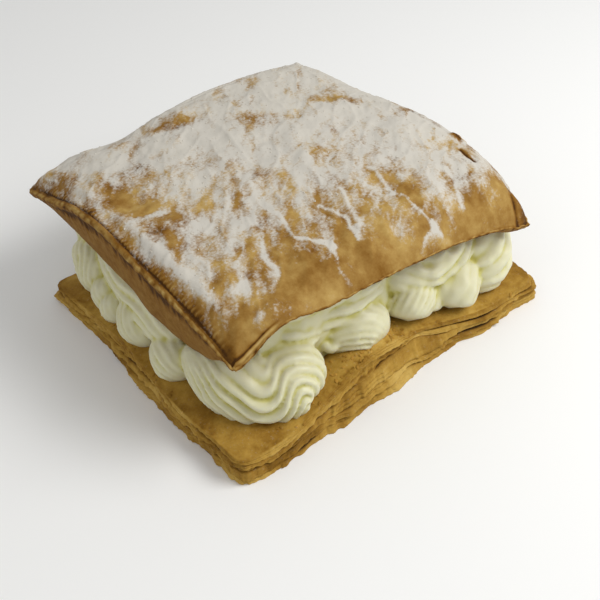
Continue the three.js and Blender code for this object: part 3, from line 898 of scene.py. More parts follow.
    crumbly_rim: Grain = Grain(2.6, 2, 36, 0.4)
    wall_bulges: Grain = Grain(16, 1, 34, 0.8)
    rim_streaks: Grain = Grain(3.2, 2, 35, 0.42)

    def rim(self, side: Side, share: Array) -> Array:
        """Points of the rim on one side, at shares of 0 to 1 from its first tip."""
        start, end = np.array(self.tips[side], float), np.array(self.tips[side.next], float)
        plan = start + (end - start) * share[:, None]
        inward = -plan / np.linalg.norm(plan, axis=1, keepdims=True)
        plan = plan + inward * (self.bow[side] * np.sin(np.pi * share))[:, None]
        from_tip = 2 * CAKE_HALF * np.minimum(share, 1 - share)
        plan = plan + inward * (self.bluntness * bell(from_tip, 0, 3.0))[:, None]
        return np.column_stack([plan, along(self.rim_height[side], share)])

    def blend(self, u: Array, v: Array) -> Array:
        """The four rim curves blended over the sheet, u along +X and v along +Y."""
        u_, v_ = u[:, None], v[:, None]
        points = self.rim(Side.FRONT, u) * (1 - v_) + self.rim(Side.BACK, 1 - u) * v_
        points = points + self.rim(Side.LEFT, 1 - v) * (1 - u_) + self.rim(Side.RIGHT, v) * u_
        weights = {Side.FRONT: (1 - u_) * (1 - v_), Side.RIGHT: u_ * (1 - v_),
                   Side.BACK: u_ * v_, Side.LEFT: (1 - u_) * v_}
        for side, weight in weights.items():
            points = points - self.rim(side, np.zeros(1)) * weight
        return points

    def unevenness(self, x: Array, y: Array) -> Array:
        """The slow swell of the sheet, the same as in the solid."""
        k, phase = 2 * np.pi / self.swell_pitch, 1.3
        return (
            0.5 * np.sin(k * x + phase) * np.cos(k * 0.8 * y - phase * 1.7)
            + 0.3 * np.sin(k * 0.6 * (x + y) + phase * 2.3)
            + 0.2 * np.cos(k * 1.3 * (x - 0.7 * y) - phase)
        )

    def top(self, u: Array, v: Array) -> Array:
        """The main form of the top, rolling up from the rim to an uneven plateau."""
        points = self.blend(u, v)
        x, y, z = points.T
        from_edge = 2 * CAKE_HALF * np.minimum(np.minimum(u, 1 - u), np.minimum(v, 1 - v))
        plateau = self.plateau - self.plateau_fall * (x * x + y * y) / (2 * CAKE_HALF**2)
        plateau = plateau + self.swell * self.unevenness(x, y)
        points[:, 2] = z + (plateau - z) * (1 - np.exp(-from_edge / self.roll_length))
        return points

    @staticmethod
    def drawn_out(x: Array, y: Array) -> Array:
        """Places on which unevenness is drawn out the way in which the sheet's flakes run."""
        return np.column_stack([0.8 * x - 0.6 * y, (0.6 * x + 0.8 * y) * 0.45, 0 * x])

    def far_in(self, x: Array, y: Array) -> Array:
        """How far each place lies along the way in which the sugar thickens, in mm."""
        return self.sugar_way[0] * x + self.sugar_way[1] * y

    def sugar(self, x: Array, y: Array) -> Array:
        """How thickly the sieved sugar lies, from 0 on bare crust to 1 where it hides it."""
        plan = on_plane(x, y)
        far_in = self.far_in(x, y)
        near_x = x + self.sugar_wander.at(plan)
        near_y = y + self.sugar_wander.at(plan, 1)
        cover = 0.13 + 0.82 * smoothstep(*self.sugar_from, far_in + self.sugar_drift.at(plan))
        for mark in (*self.patches, *self.streaks):
            cover = cover + mark.cover(near_x, near_y)
        cover = cover - 1.6 * self.slit.cover(x, y) - 1.2 * self.scorched_nub.cover(x, y)
        flakes = self.drawn_out(near_x, near_y)
        cover = cover + self.sugar_heaps.at(flakes) + self.sugar_clouds.at(plan)
        cracks = creases(flakes, 6.5, 68, 3.0) * smoothstep(-0.3, 0.4, self.bare_places.at(plan))
        veins = creases(flakes, 11, 66, 6.0) * smoothstep(-0.2, 0.35, self.veined_places.at(plan))
        cover = cover - 0.32 * cracks + 0.42 * veins * smoothstep(-112, -60, far_in)
        return np.clip(cover, -0.4, MOST_SUGAR)

    def pleats(self, left: Array, y: Array, plan: Array) -> Array:
        """Narrow slanting strokes pressed along the left rim, 1 on a stroke."""
        wave = np.sin(2 * np.pi * (y / self.pleat_pitch + 0.14 * left) + 3.2 * noise(plan, 8, 24))
        return smoothstep(-0.1, 1.0, wave)

    def relief(self, u: Array, v: Array, points: Array, sugar: Array) -> Array:
        """Work out what stands on the main form of the top.

        Args:
            u: places over the sheet along +X, from 0 to 1.
            v: the same along +Y.
            points: the main form there.
            sugar: how thickly the sugar lies there.

        Returns:
            The height of blisters, wrinkles, pleats and sugar, in mm.
        """
        x, y, _ = points.T
        plan = on_plane(x, y)
        left, front, right, back = (2 * CAKE_HALF * share for share in (u, v, 1 - u, 1 - v))
        inner = smoothstep(0, 9, np.minimum(np.minimum(left, right), np.minimum(front, back)))
        flakes = self.drawn_out(x, y)
        lift = inner * (self.blisters.at(plan) + self.small_blisters.at(plan))
        lift = lift + inner * 0.5 * (creases(flakes, 13, 21) - 0.3) + self.wrinkles.at(flakes)
        lift = lift + self.pores.at(plan)
        on_left = smoothstep(0.03, 0.12, v) * smoothstep(1.0, 0.84, v)
        lift = lift + on_left * (1.3 * bell(left, 11, 4) - 0.8 * bell(left, 1.6, 0.8))
        lift = lift + 0.2 * on_left * bell(left, 3.4, 1.7) * self.pleats(left, y, plan)
        for distance in (right, back):
            lift = lift - 0.5 * bell(distance, 3.4, 1.2) + 0.5 * bell(distance, 7.5, 2.5)
        fold = smoothstep(*self.front_fold, u)
        lift = lift + fold * (0.4 * bell(front, 0.8, 0.7) - 0.6 * bell(front, 2.3, 0.6))
        lift = lift - 0.9 * self.slit.cover(x, y) + 2.2 * self.scorched_nub.cover(x, y)
        lift = lift - 0.9 * self.tip_fold.cover(x, y)
        return lift + self.sugar_depth * smoothstep(0.25, 0.9, sugar)

    def browning_and_shade(self, u: Array, v: Array, points: Array) -> Array:
        """Work out how far the top is baked, from 0 pale to 1 scorched, with painted shade and highlight
        along its seam, fold and creases.

        Args:
            u: places over the sheet along +X, from 0 to 1.
            v: the same along +Y.
            points: the top there.

        Returns:
            The bake of each place, with that painted shade and highlight added.
        """
        x, y, _ = points.T
        plan = on_plane(x, y)
        left, front, right = 2 * CAKE_HALF * u, 2 * CAKE_HALF * v, 2 * CAKE_HALF * (1 - u)
        bake_and_shade = 0.5 + self.broad_browning.at(plan) + self.fine_browning.at(plan)
        bake_and_shade = bake_and_shade + 0.24 * (1 - smoothstep(0, 9, np.minimum(left, right)))
        bake_and_shade = bake_and_shade + 0.1 * smoothstep(-70, -125, self.far_in(x, y))
        on_left = smoothstep(0.02, 0.1, v) * smoothstep(1.0, 0.86, v)
        # along the left rim: painted shade in the seam's groove; a darker reddish band that is the crust's
        # own colour; pleats drawn paler, partly paler flakes and partly a painted highlight on their raised
        # crests
        stroke = self.pleats(left, y, plan) * bell(left, 3.2, 1.8) * (0.8 + 0.7 * noise(plan, 5, 25))
        bake_and_shade = bake_and_shade + on_left * (0.3 * bell(left, 1.4, 0.6) + 0.16 * bell(left, 3.4, 2.6) - 0.36 * stroke)
        # painted shade in the front fold's groove and a painted highlight on the ridge in front of it
        fold = smoothstep(*self.front_fold, u)
        bake_and_shade = bake_and_shade + fold * (0.4 * bell(front, 2.3, 0.6) - 0.35 * bell(front, 0.7, 0.7))
        front_right = np.hypot(x - 92, y + 92)  # from the tip there, which the oven browned most
        # painted shade: the tip fold and the slit are cut into the top and drawn darker in their creases
        bake_and_shade = bake_and_shade + 0.22 * bell(front_right, 0, 16) + 0.3 * self.tip_fold.cover(x, y)
        return bake_and_shade + 0.42 * self.slit.cover(x, y) + 0.4 * self.scorched_nub.cover(x, y)

    def edge_cells(self, spread: Array) -> tuple[Array, Array, Array]:
        """Walk round the grid's edge anticlockwise.

        Args:
            spread: the grid's parameter values from 0 to 1.

        Returns:
            The grid vertex of each step, the side's number and the share of that side.
        """
        n = self.grid
        i, back = np.arange(n), n - np.arange(n)
        cells = np.concatenate([i, (i * (n + 1)) + n, n * (n + 1) + back, back * (n + 1)])
        share = np.concatenate([spread[i], spread[i], 1 - spread[back], 1 - spread[back]])
        return cells, np.repeat(np.arange(len(Side)), n), share

    def side_of(self, rim: Array, side: Array, share: Array, rim_sugar: Array) -> tuple[list[Array], ...]:
        """Build the rim's side and the underside as rings.

        Args:
            rim: the edge of the top, anticlockwise.
            side: the number of the side at each of its points.
            share: how far along that side each point is.
            rim_sugar: the sugar at each point, or none where no sugar fell over the edge.

        Returns:
            The rings from above, their bake with painted shade, and their sugar.
        """
        drop, thick = (
            np.choose(side, [along(values[s], share) for s in Side])
            for values in (self.wall_drop, self.rim_thickness)
        )
        rings, bakes, sugars = [], [], []
        for number, (inset, rim_share, drop_share) in enumerate(self.side_rings):
            level = rim[:, 2] - thick * rim_share - drop * drop_share
            if drop_share == 0:
                inset = inset * thick / self.full_thickness
            # each kind of unevenness is squeezed or drawn out by its own share of the height
            leafy_at, crumbly_at, bulge_at, streak_at = (
                np.column_stack([rim[:, :2], level * share_up]) for share_up in (2.2, 0.8, 1.0, 1.5)
            )
            leafy = self.leafy_rim.at(leafy_at) + self.crumbly_rim.at(crumbly_at)
            leafy = leafy * (1 - smoothstep(0.1, 0.5, drop_share))
            bulge = self.wall_bulges.at(bulge_at) * drop_share
            drawn_in = 1 - (inset + leafy + bulge) / CAKE_HALF
            rings.append(np.column_stack([rim[:, :2] * drawn_in[:, None], level]))
            wall = smoothstep(0.05, 0.35, drop_share)
            lip = (0.56 if number < self.lip_rings else 0.76) + self.rim_streaks.at(streak_at)
            # painted shade: below the lip the wall is drawn darker where its bulges set it further in
            bakes.append(lip * (1 - wall) + (0.72 + 0.15 * bulge) * wall)
            sugars.append(rim_sugar - 0.3 * number)
        lowest = rings[-1]
        for scale in self.underside_scales:
            z = self.underside_height + (lowest[:, 2] - self.underside_height) * scale**2
            rings.append(np.column_stack([lowest[:, :2] * scale, z]))
            bakes.append(np.full(len(rim), 0.7))
            sugars.append(np.full(len(rim), NO_SUGAR))
        return rings, bakes, sugars

    def build(self) -> bpy.types.Object:
        """Build the lid.

        Returns:
            The lid as one closed mesh with its bake, sugar and clumps fields.
        """
        n = self.grid
        k = np.arange(n + 1) / n
        spread = k - self.edge_fineness * np.sin(2 * np.pi * k) / (2 * np.pi)
        v, u = (m.ravel() for m in np.meshgrid(spread, spread, indexing="ij"))
        points = self.top(u, v)
        sugar = self.sugar(*points[:, :2].T)
        points[:, 2] += self.relief(u, v, points, sugar)
        sugar = sugar * smoothstep(-1, 5, 2 * CAKE_HALF * np.minimum(u, v))

        cells, side, share = self.edge_cells(spread)
        dusted = (side == Side.RIGHT.value) | (side == Side.BACK.value)
        rim_sugar = np.where(dusted, sugar[cells], NO_SUGAR)
        rings, bakes, sugars = self.side_of(points[cells], side, share, rim_sugar)

        first, around = len(points), len(cells)
        grid = np.arange((n + 1) ** 2).reshape(n + 1, n + 1)
        quads = np.stack([grid[:-1, :-1], grid[:-1, 1:], grid[1:, 1:], grid[1:, :-1]], axis=-1).reshape(-1, 4)
        first_ring = first + np.arange(around)
        after = np.roll(np.arange(around), -1)
        collar = np.stack([cells, first_ring, first_ring[after], cells[after]], axis=1)
        stacked = ring_faces(len(rings), around, first)[:, ::-1]
        last_ring = first_ring + (len(rings) - 1) * around
        everything = np.concatenate([points, *rings, [[0, 0, self.underside_height]]])
        fan = fan_faces(last_ring, len(everything) - 1, upward=False)
        fields = {
            "bake_and_shade": np.concatenate([self.browning_and_shade(u, v, points), *bakes, [0.7]]),
            "sugar": np.clip(np.concatenate([sugar, *sugars, [NO_SUGAR]]), NO_SUGAR, MOST_SUGAR),
            "clumps": np.concatenate([smoothstep(0.25, 0.7, sugar), np.zeros(len(everything) - first)]),
        }
        piece = make_piece("lid_pastry_crust", everything, [quads, collar, stacked, fan], fields)
        mark_hollows(piece.data, rounds=5, depth=0.8)
        return piece

    def finish(self) -> PuffPastry:
        """The crust and sugar of the lid."""
        return PuffPastry(
            "puff_pastry_lid",
            ((0.0, "CDB381"), (0.3, "B19152"), (0.55, "977338"), (0.8, "7A5218"), (1.0, "4A2D0B")),
        )

    def dress(self) -> bpy.types.Object:
        """Build the lid, give it its finish and tie it to its solid."""
        piece = self.build()
        piece.data.materials.append(self.finish().material())
        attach(piece, ROOT_BODY)
        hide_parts("lid_pastry")
        return piece

    def lower_edge(self, x: float, y: float) -> float:
        """Height of the lid's lower edge at the rim nearest to a place by the border."""
        upright = abs(x) > abs(y)
        if upright:
            side = Side.RIGHT if x > 0 else Side.LEFT
        else:
            side = Side.BACK if y > 0 else Side.FRONT
        travel = {Side.FRONT: x, Side.RIGHT: y, Side.BACK: -x, Side.LEFT: -y}[side]
        share = np.array([(travel / CAKE_HALF + 1) / 2])
        drop = along(self.rim_height[side], share) - along(self.wall_drop[side], share)
        return float(drop[0] - along(self.rim_thickness[side], share)[0])


# Whipped cream


@dataclass(frozen=True)
class Swirl:
    """One piped swirl: the path of the nozzle and the girth along it, both in mm, and how far
    the ridges have turned round it at even steps along it, in radians."""

    path: tuple[tuple[float, float, float], ...]
    girth: tuple[float, ...]
    turns: tuple[float, ...] = (0.0, 0.3)
    ridge_pitch: float = 4.6
    ridge_depth: float = 2.0
    droop: float = 0.0  # how much more the ridges turn below than above
    lumps: float = 1.0  # how uneven its girth is, over the usual unevenness


@dataclass
class WhippedCream:
    """The filling: a core that runs through the cake and a border of piped swirls."""

    lid: LidPastry
    left_swirls: tuple[Swirl, ...] = (
        Swirl(((-79, 77, 36), (-81, 67, 28), (-83, 57, 21), (-84, 48, 15)),
              (12, 13.5, 13, 5), (0.5, 0.2, -0.5, -1.2)),
        Swirl(((-85, 54, 23), (-88, 44, 20), (-88, 34, 16)), (6, 10, 5), (0.3, -0.6), 4.2, 1.6),
        Swirl(((-88, 41, 23), (-91, 33, 19), (-91, 25, 15)), (5, 8.5, 4), (0, -0.8), 4.2, 1.6),
        Swirl(((-84, 25, 28), (-88, 11, 22), (-88, -2, 16)), (8, 12.5, 6), (0.4, -0.2, -0.9)),
        Swirl(((-74, 66, 36), (-78, 38, 35), (-80, 14, 34), (-82, -6, 33), (-82, -24, 30)),
              (10, 12, 13, 13, 10), (0.3, -0.2, 0.2, -0.3), 7.0, 1.9),
        Swirl(((-90, -8, 24), (-88, -22, 21), (-85, -34, 18)), (8, 13, 7), (0.3, 0.0, -0.6), 5.0),
    )
    corner_swirls: tuple[Swirl, ...] = (
        Swirl(((-84, -28, 31), (-80, -47, 26), (-74, -63, 25), (-65, -73, 25), (-53, -76, 27),
               (-47, -76, 16)), (11, 17, 20, 19, 18, 12), (1.1, 0.9, 0.5, 0.0, -0.55, 0.45, -0.3, -1.0),
              8.2, 3.6, 0.5),
        Swirl(((-60, -50, 42), (-50, -62, 40), (-38, -62, 38), (-28, -63, 36)),
              (12, 14, 12, 8), (0.4, -0.3), 6.0, lumps=1.8),
        Swirl(((-66, -40, 57), (-52, -58, 58), (-20, -62, 57), (24, -64, 55)),
              (10, 12, 12, 9), (0.4, -0.4, 0.3), 7.0, 2.2),
    )
    front_swirls: tuple[Swirl, ...] = (
        Swirl(((-36, -60, 30), (-36, -66, 22), (-35, -70, 14)), (8, 6, 4.5), (0, 0.7), 4.0, 1.2),
        Swirl(((-27.5, -60, 35), (-27, -64.5, 31), (-29.5, -70, 27.5), (-28, -73.5, 26), (-24, -73, 28.5),
               (-21, -69, 33)), (3.2, 2.7, 2.9, 2.8, 2.5, 1.8), (0, 0), 5.0, 0.3),
        Swirl(((-29, -59, 24), (-23, -63, 25), (-13, -68, 27), (-3, -72, 25), (4, -77, 18)),
              (4, 11, 15, 14.5, 8), (-0.1, 0.2, 0.15, -0.2), 3.9, 1.7),
        Swirl(((-42, -58, 44), (-26, -62, 43), (-10, -64, 43), (10, -66, 44)),
              (9, 12, 12, 10), (0.2, -0.3), 7.5, 1.8, lumps=2.2),
        Swirl(((29, -66, 38), (25, -73, 30), (19, -79, 20)), (12, 14, 12.5), (0.6, -0.5), 4.4, 1.7),
        Swirl(((43, -66, 36), (37, -75, 27), (32, -80, 18)), (8, 9.5, 8), (0.3, -0.3), 9.0, 0.8),
        Swirl(((56, -70, 36), (51, -79, 27), (44, -84, 17)),
              (13, 15, 12.5), (0.3, -0.4), 11.0, 1.6, lumps=1.5),
        Swirl(((12, -66, 45), (30, -71, 42), (50, -73, 43), (70, -71, 42)),
              (9, 13, 13, 9), (0.5, -0.7, 0.9), 9.5, 1.9, lumps=2.4),
        Swirl(((77, -64, 46), (76, -72, 35), (70, -78, 24), (60, -82, 17)),
              (15, 18.5, 17, 8), (1.2, 0.3, -0.5, -1.4), 13.0, 1.9, lumps=1.5),
    )
    far_count: int = 10
    far_inset: float = 73.0
    far_first: float = -38.0
    far_last: float = 214.0
    far_girth: float = 17.0
    far_unevenness: float = 1.6
    far_lean: float = 9.0  # how far a swirl leans along its side, mm
    far_foot: float = 20.0  # height of its lower end, mm
    far_turn: float = 0.5
    far_ridges: tuple[float, float] = (6.0, 2.3)  # their pitch and depth, mm
    points_per_ridge: int = 7
    lengthwise: int = 46
    end_roundness: int = 5  # the higher, the blunter a swirl's ends
    steep: float = 0.8  # a swirl that starts more upright than this turns about the outward way
    least_radius: float = 0.3
    calm_top: float = 0.65  # share of their depth that ridges lose where a swirl faces up
    ridge_waver: Grain = Grain(8, 1, 51, 0.5)
    ridge_change: Grain = Grain(9, 1, 52, 1.1)
    core_half: float = 70.0
    core_steps: int = 420
    core_rings: int = 18
    core_floor: float = 13.0
    core_peak: float = 54.0
    core_billow: Grain = Grain(19, 3, 7, 3.2)
    core_bulge: float = 2.5
    core_top_scales: tuple[float, ...] = (0.85, 0.45)
    fineness: float = 0.95  # spacing of the joined skin's vertices, mm
    softening: int = 2
    kept_share: float = 0.64  # of its triangles, the flattest going first

    def groove(self, angle: Array, lobes: int, t: float, upward: Array) -> Array:
        """Work out how deep a swirl is grooved round one section.

        Args:
            angle: the places round the section, in radians.
            lobes: how many ridges go round it.
            t: where along the swirl the section is, from 0 to 1.
            upward: how far each place faces up, from -1 to 1.

        Returns:
            The share of the full depth at each place.
        """
        circle = np.column_stack([np.cos(angle), np.sin(angle)]) * 7
        spot = np.column_stack([circle, np.full(len(angle), 30 * t + lobes)])
        valley = 1 - np.abs(np.sin(lobes * angle / 2 + self.ridge_waver.at(spot))) ** 0.9
        worn = 1 - self.calm_top * smoothstep(0.35, 0.95, upward)
        return valley * worn * np.clip(0.95 + self.ridge_change.at(spot), 0.15, 1.7)

    def sweep(self, swirl: Swirl) -> tuple[Array, list[Array]]:
        """Sweep a ridged section along a swirl's path.

        Args:
            swirl: the path, girth and ridges.

        Returns:
            The points and the faces of one closed skin.
        """
        t = np.linspace(0, 1, self.lengthwise)
        spine = np.stack([along([p[k] for p in swirl.path], t) for k in range(3)], axis=1)
        ahead = np.gradient(spine, axis=0)
        ahead /= np.linalg.norm(ahead, axis=1, keepdims=True)
        girth = along(list(swirl.girth), t)
        rounding = np.sqrt(np.clip(1 - np.abs(2 * t - 1) ** self.end_roundness, 0, 1))
        turns = along(list(swirl.turns), t)
        lobes = round(2 * math.pi * max(swirl.girth) / swirl.ridge_pitch)
        angle = np.arange(lobes * self.points_per_ridge) / (lobes * self.points_per_ridge) * 2 * np.pi
        up = np.array([0.0, 0.0, 1.0])
        if abs(ahead[0] @ up) > self.steep:
            up = np.array([spine[0, 0], spine[0, 1], 0.0]) / np.linalg.norm(spine[0, :2])
        rings = []
        for k in range(1, self.lengthwise - 1):
            across = np.cross(ahead[k], up)
            across /= np.linalg.norm(across)
            up = np.cross(across, ahead[k])
            turned = angle + turns[k] * (1 - swirl.droop * np.sin(angle))
            out = np.cos(turned)[:, None] * across + np.sin(turned)[:, None] * up
            size = girth[k] * rounding[k]
            skin = spine[k] + out * size
            swell = 1 + swirl.lumps * (0.06 * noise(skin, 14, lobes) + 0.035 * noise(skin, 6, 3))
            groove = self.groove(angle, lobes, t[k], out[:, 2])
            radius = size * swell - swirl.ridge_depth * rounding[k] ** 2 * groove
            rings.append(spine[k] + np.maximum(radius, self.least_radius)[:, None] * out)
        start, end = spine[0] - ahead[0] * 0.1 * girth[0], spine[-1] + ahead[-1] * 0.1 * girth[-1]
        return closed_stack(rings, start, end, flipped=True)

    def far_swirls(self) -> list[Swirl]:
        """Swirls like those shown, at an even spacing along the right and back sides."""
        made = []
        for k in range(self.far_count):
            travel = self.far_first + (self.far_last - self.far_first) * k / (self.far_count - 1)
            turned = travel < self.far_inset
            x, y = (self.far_inset, travel) if turned else (2 * self.far_inset - travel, self.far_inset)
            out = np.array([1.0, 0.0, 0.0]) if turned else np.array([0.0, 1.0, 0.0])
            side = np.array([0.0, 1.0, 0.0]) if turned else np.array([-1.0, 0.0, 0.0])
            top = self.lid.lower_edge(x, y)
            girth = self.far_girth + self.far_unevenness * math.sin(2.4 * k + 1)
            centre = np.array([x, y, 0.0])
            lean = self.far_lean * math.sin(1.9 * k)
            path = (
                centre - out * 5 - side * lean + [0, 0, top - 2],
                centre + out * 1 + [0, 0, 0.58 * top],
                centre + out * 7 + side * lean + [0, 0, self.far_foot],
            )
            turn = self.far_turn * (-1) ** k
            girths = (girth * 0.7, girth, girth * 0.55)
            made.append(Swirl(tuple(map(tuple, path)), girths, (turn, -turn), *self.far_ridges))
        return made

    def core(self) -> tuple[Array, list[Array]]:
        """Build the body of the filling behind the swirls, billowing between them.

        Returns:
            The points and the faces of one closed skin.
        """
        turn = np.arange(self.core_steps) / self.core_steps * 2 * np.pi
        square = np.maximum(np.abs(np.cos(turn)), np.abs(np.sin(turn)))
        soft = (np.abs(np.cos(turn)) ** 8 + np.abs(np.sin(turn)) ** 8) ** (1 / 8)
        reach = self.core_half / (0.35 * square + 0.65 * soft)
        plan = np.stack([np.cos(turn), np.sin(turn)], axis=1) * reach[:, None]
        top = np.array([self.lid.lower_edge(x, y) for x, y in plan])
        rings = []
        for rise in np.linspace(0, 1, self.core_rings):
            z = self.core_floor + (top + 1 - self.core_floor) * rise
            billow = self.core_billow.at(np.column_stack([plan, z]))
            bulge = self.core_bulge * math.sin(math.pi * rise)
            rings.append(np.column_stack([plan * (1 + (billow + bulge)[:, None] / CAKE_HALF), z]))
        for scale in self.core_top_scales:
            rings.append(np.column_stack([plan * scale, top * scale + self.core_peak * (1 - scale)]))
        return closed_stack(rings, [0, 0, self.core_floor], [0, 0, self.core_peak])

    def build(self) -> bpy.types.Object:
        """Build the cream by joining the core and the swirls into one skin.

        Returns:
            The whole filling as one closed mesh.
        """
        body = make_piece("whipped_cream_piped", *self.core(), {})
        heap = bpy.data.collections.new("swirls")
        swirls = [*self.left_swirls, *self.corner_swirls, *self.front_swirls, *self.far_swirls()]
        for k, swirl in enumerate(swirls):
            piece = make_piece(f"swirl_{k}", *self.sweep(swirl), {})
            bpy.context.scene.collection.objects.unlink(piece)
            heap.objects.link(piece)
        join = body.modifiers.new("join", "BOOLEAN")
        join.operation = "UNION"
        join.operand_type = "COLLECTION"
        join.collection = heap
        join.solver = "MANIFOLD"
        merge = body.modifiers.new("merge", "REMESH")
        merge.mode = "VOXEL"
        merge.voxel_size = self.fineness * MM
        soften = body.modifiers.new("soften", "SMOOTH")
        soften.factor = 0.5
        soften.iterations = self.softening
        thin = body.modifiers.new("thin", "DECIMATE")
        thin.ratio = self.kept_share
        joined = bpy.data.meshes.new_from_object(body.evaluated_get(bpy.context.evaluated_depsgraph_get()))
        body.modifiers.clear()
        body.data = joined
        for piece in list(heap.objects):
            bpy.data.objects.remove(piece)
        bpy.data.collections.remove(heap)
        joined.polygons.foreach_set("use_smooth", np.ones(len(joined.polygons), bool))
        mark_hollows(joined, rounds=9, depth=0.75)
        return body

    def dress(self) -> bpy.types.Object:
        """Build the cream, give it its finish and tie it to its solid."""
        piece = self.build()
        piece.data.materials.clear()
        piece.data.materials.append(WhippedDairyCream().material())
        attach(piece, ROOT_BODY)
        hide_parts("whipped_cream")
        return piece


# Loose bits


@dataclass(frozen=True)
class SievedSugar:
    """Icing sugar that fell in small clumps: dry, chalky and nearly white, a little greyer
    where its grains are shaded."""

    name: str = "icing_sugar_clumped"
    pale: str = "D2CDC2"
    dark: str = "B9B2A4"
    grain_size: float = 0.8  # coarser than real grains, so that it shows
    roughness: float = 0.95

    def material(self) -> bpy.types.Material:
        """Build the material."""
        made, tree, shader = new_surface(self.name)
        tone = add_ramp(tree, surface_noise(tree, self.grain_size, 2), ((0.35, self.dark), (0.65, self.pale)))
        tree.links.new(tone, shader.inputs["Base Color"])
        shader.inputs["Roughness"].default_value = self.roughness
        shader.inputs["IOR"].default_value = FAT_AND_SUGAR_IOR
        return made


@dataclass(frozen=True)
class LooseBits:
    """Bits of one kind strewn by Geometry Nodes over a surface where one of its fields is high."""

    name: str
    where: str  # the field that says how thickly they lie
    per_area: float  # how many to a square centimetre where the field is 1
    size: float  # half the length of a middling bit, mm
    spread: float  # how far sizes vary, as a share
    shape: tuple[float, float, float]  # length, width and height of a bit over its size
    seed: int
    tilt: float = 0.35  # how far a bit may lie off the surface, in radians

    def tree(self) -> Tree:
        """Build the node tree, with its sizes as inputs."""
        tree = bpy.data.node_groups.new(self.name, "GeometryNodeTree")
        sockets = (("Surface", "Geometry"), ("Density", "Float"), ("Size", "Float"), ("Spread", "Float"),
                   ("Shape", "Vector"), ("Seed", "Int"), ("Finish", "Material"))
        for label, kind in sockets:
            tree.interface.new_socket(label, in_out="INPUT", socket_type=f"NodeSocket{kind}")
        tree.interface.new_socket("Bits", in_out="OUTPUT", socket_type="NodeSocketGeometry")
        given = add_node(tree, "NodeGroupInput").outputs
        field_value = add_node(
            tree, "GeometryNodeInputNamedAttribute", {"data_type": "FLOAT"}, Name=self.where,
        ).outputs["Attribute"]
        points = add_node(
            tree, "GeometryNodeDistributePointsOnFaces", Mesh=given["Surface"],
            Density=math_node(tree, "MULTIPLY", given["Density"], field_value), Seed=given["Seed"],
        )
        ball = add_node(tree, "GeometryNodeMeshIcoSphere", Radius=1.0, Subdivisions=2).outputs["Mesh"]
        rough = add_node(tree, "ShaderNodeTexNoise", {"noise_dimensions": "3D"}, Scale=1.3, Detail=1.0)
        away = add_node(
            tree, "ShaderNodeVectorMath", {"operation": "SUBTRACT"},
            i0=rough.outputs["Color"], i1=(0.5, 0.5, 0.5),
        ).outputs[0]
        bit = add_node(tree, "GeometryNodeSetPosition", Geometry=ball, Offset=away).outputs[0]
        least = math_node(tree, "MULTIPLY", given["Size"], math_node(tree, "SUBTRACT", 1.0, given["Spread"]))
        most = math_node(tree, "MULTIPLY", given["Size"], math_node(tree, "ADD", 1.0, given["Spread"]))
        draw = add_node(tree, "FunctionNodeRandomValue", {"data_type": "FLOAT"}, Seed=given["Seed"])
        tree.links.new(least, draw.inputs[2])
        tree.links.new(most, draw.inputs[3])
        scale = add_node(
            tree, "ShaderNodeVectorMath", {"operation": "SCALE"}, i0=given["Shape"], Scale=draw.outputs[1],
        ).outputs[0]
        turn = add_node(
            tree, "FunctionNodeRandomValue", {"data_type": "FLOAT_VECTOR"},
            i0=(-self.tilt, -self.tilt, 0.0), i1=(self.tilt, self.tilt, 6.28), Seed=given["Seed"],
        ).outputs[0]
        turn = add_node(tree, "FunctionNodeEulerToRotation", Euler=turn).outputs[0]
        turned = add_node(
            tree, "FunctionNodeRotateRotation", {"rotation_space": "LOCAL"},
            Rotation=points.outputs["Rotation"], Rotate_By=turn,
        ).outputs[0]
        strewn = add_node(
            tree, "GeometryNodeInstanceOnPoints", Points=points.outputs["Points"], Instance=bit,
            Rotation=turned, Scale=scale,
        ).outputs[0]
        real = add_node(tree, "GeometryNodeRealizeInstances", Geometry=strewn).outputs[0]
        dressed = add_node(tree, "GeometryNodeSetMaterial", Geometry=real, Material=given["Finish"])
        add_node(tree, "NodeGroupOutput", Bits=dressed.outputs[0])
        return tree

    def over(self, surface: bpy.types.Object, finish: bpy.types.Material) -> bpy.types.Object:
        """Strew the bits over a surface.

        Args:
            surface: the piece that they lie on.
            finish: their material.

        Returns:
            One plain mesh of all the bits.
        """
        piece = bpy.data.objects.new(self.name, surface.data.copy())
        bpy.context.scene.collection.objects.link(piece)
        strew = piece.modifiers.new("strew", "NODES")
        strew.node_group = self.tree()
        values = {"Density": self.per_area * PER_CM2, "Size": self.size * MM, "Spread": self.spread,
                  "Shape": self.shape, "Seed": self.seed, "Finish": finish}
        for socket in strew.node_group.interface.items_tree:
            if socket.name in values and socket.in_out == "INPUT":
                strew[socket.identifier] = values[socket.name]
        mesh = bpy.data.meshes.new_from_object(piece.evaluated_get(bpy.context.evaluated_depsgraph_get()))
        piece.modifiers.clear()
        piece.data = mesh
        mesh.name = self.name
        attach(piece, ROOT_BODY)
        return piece


# Studio


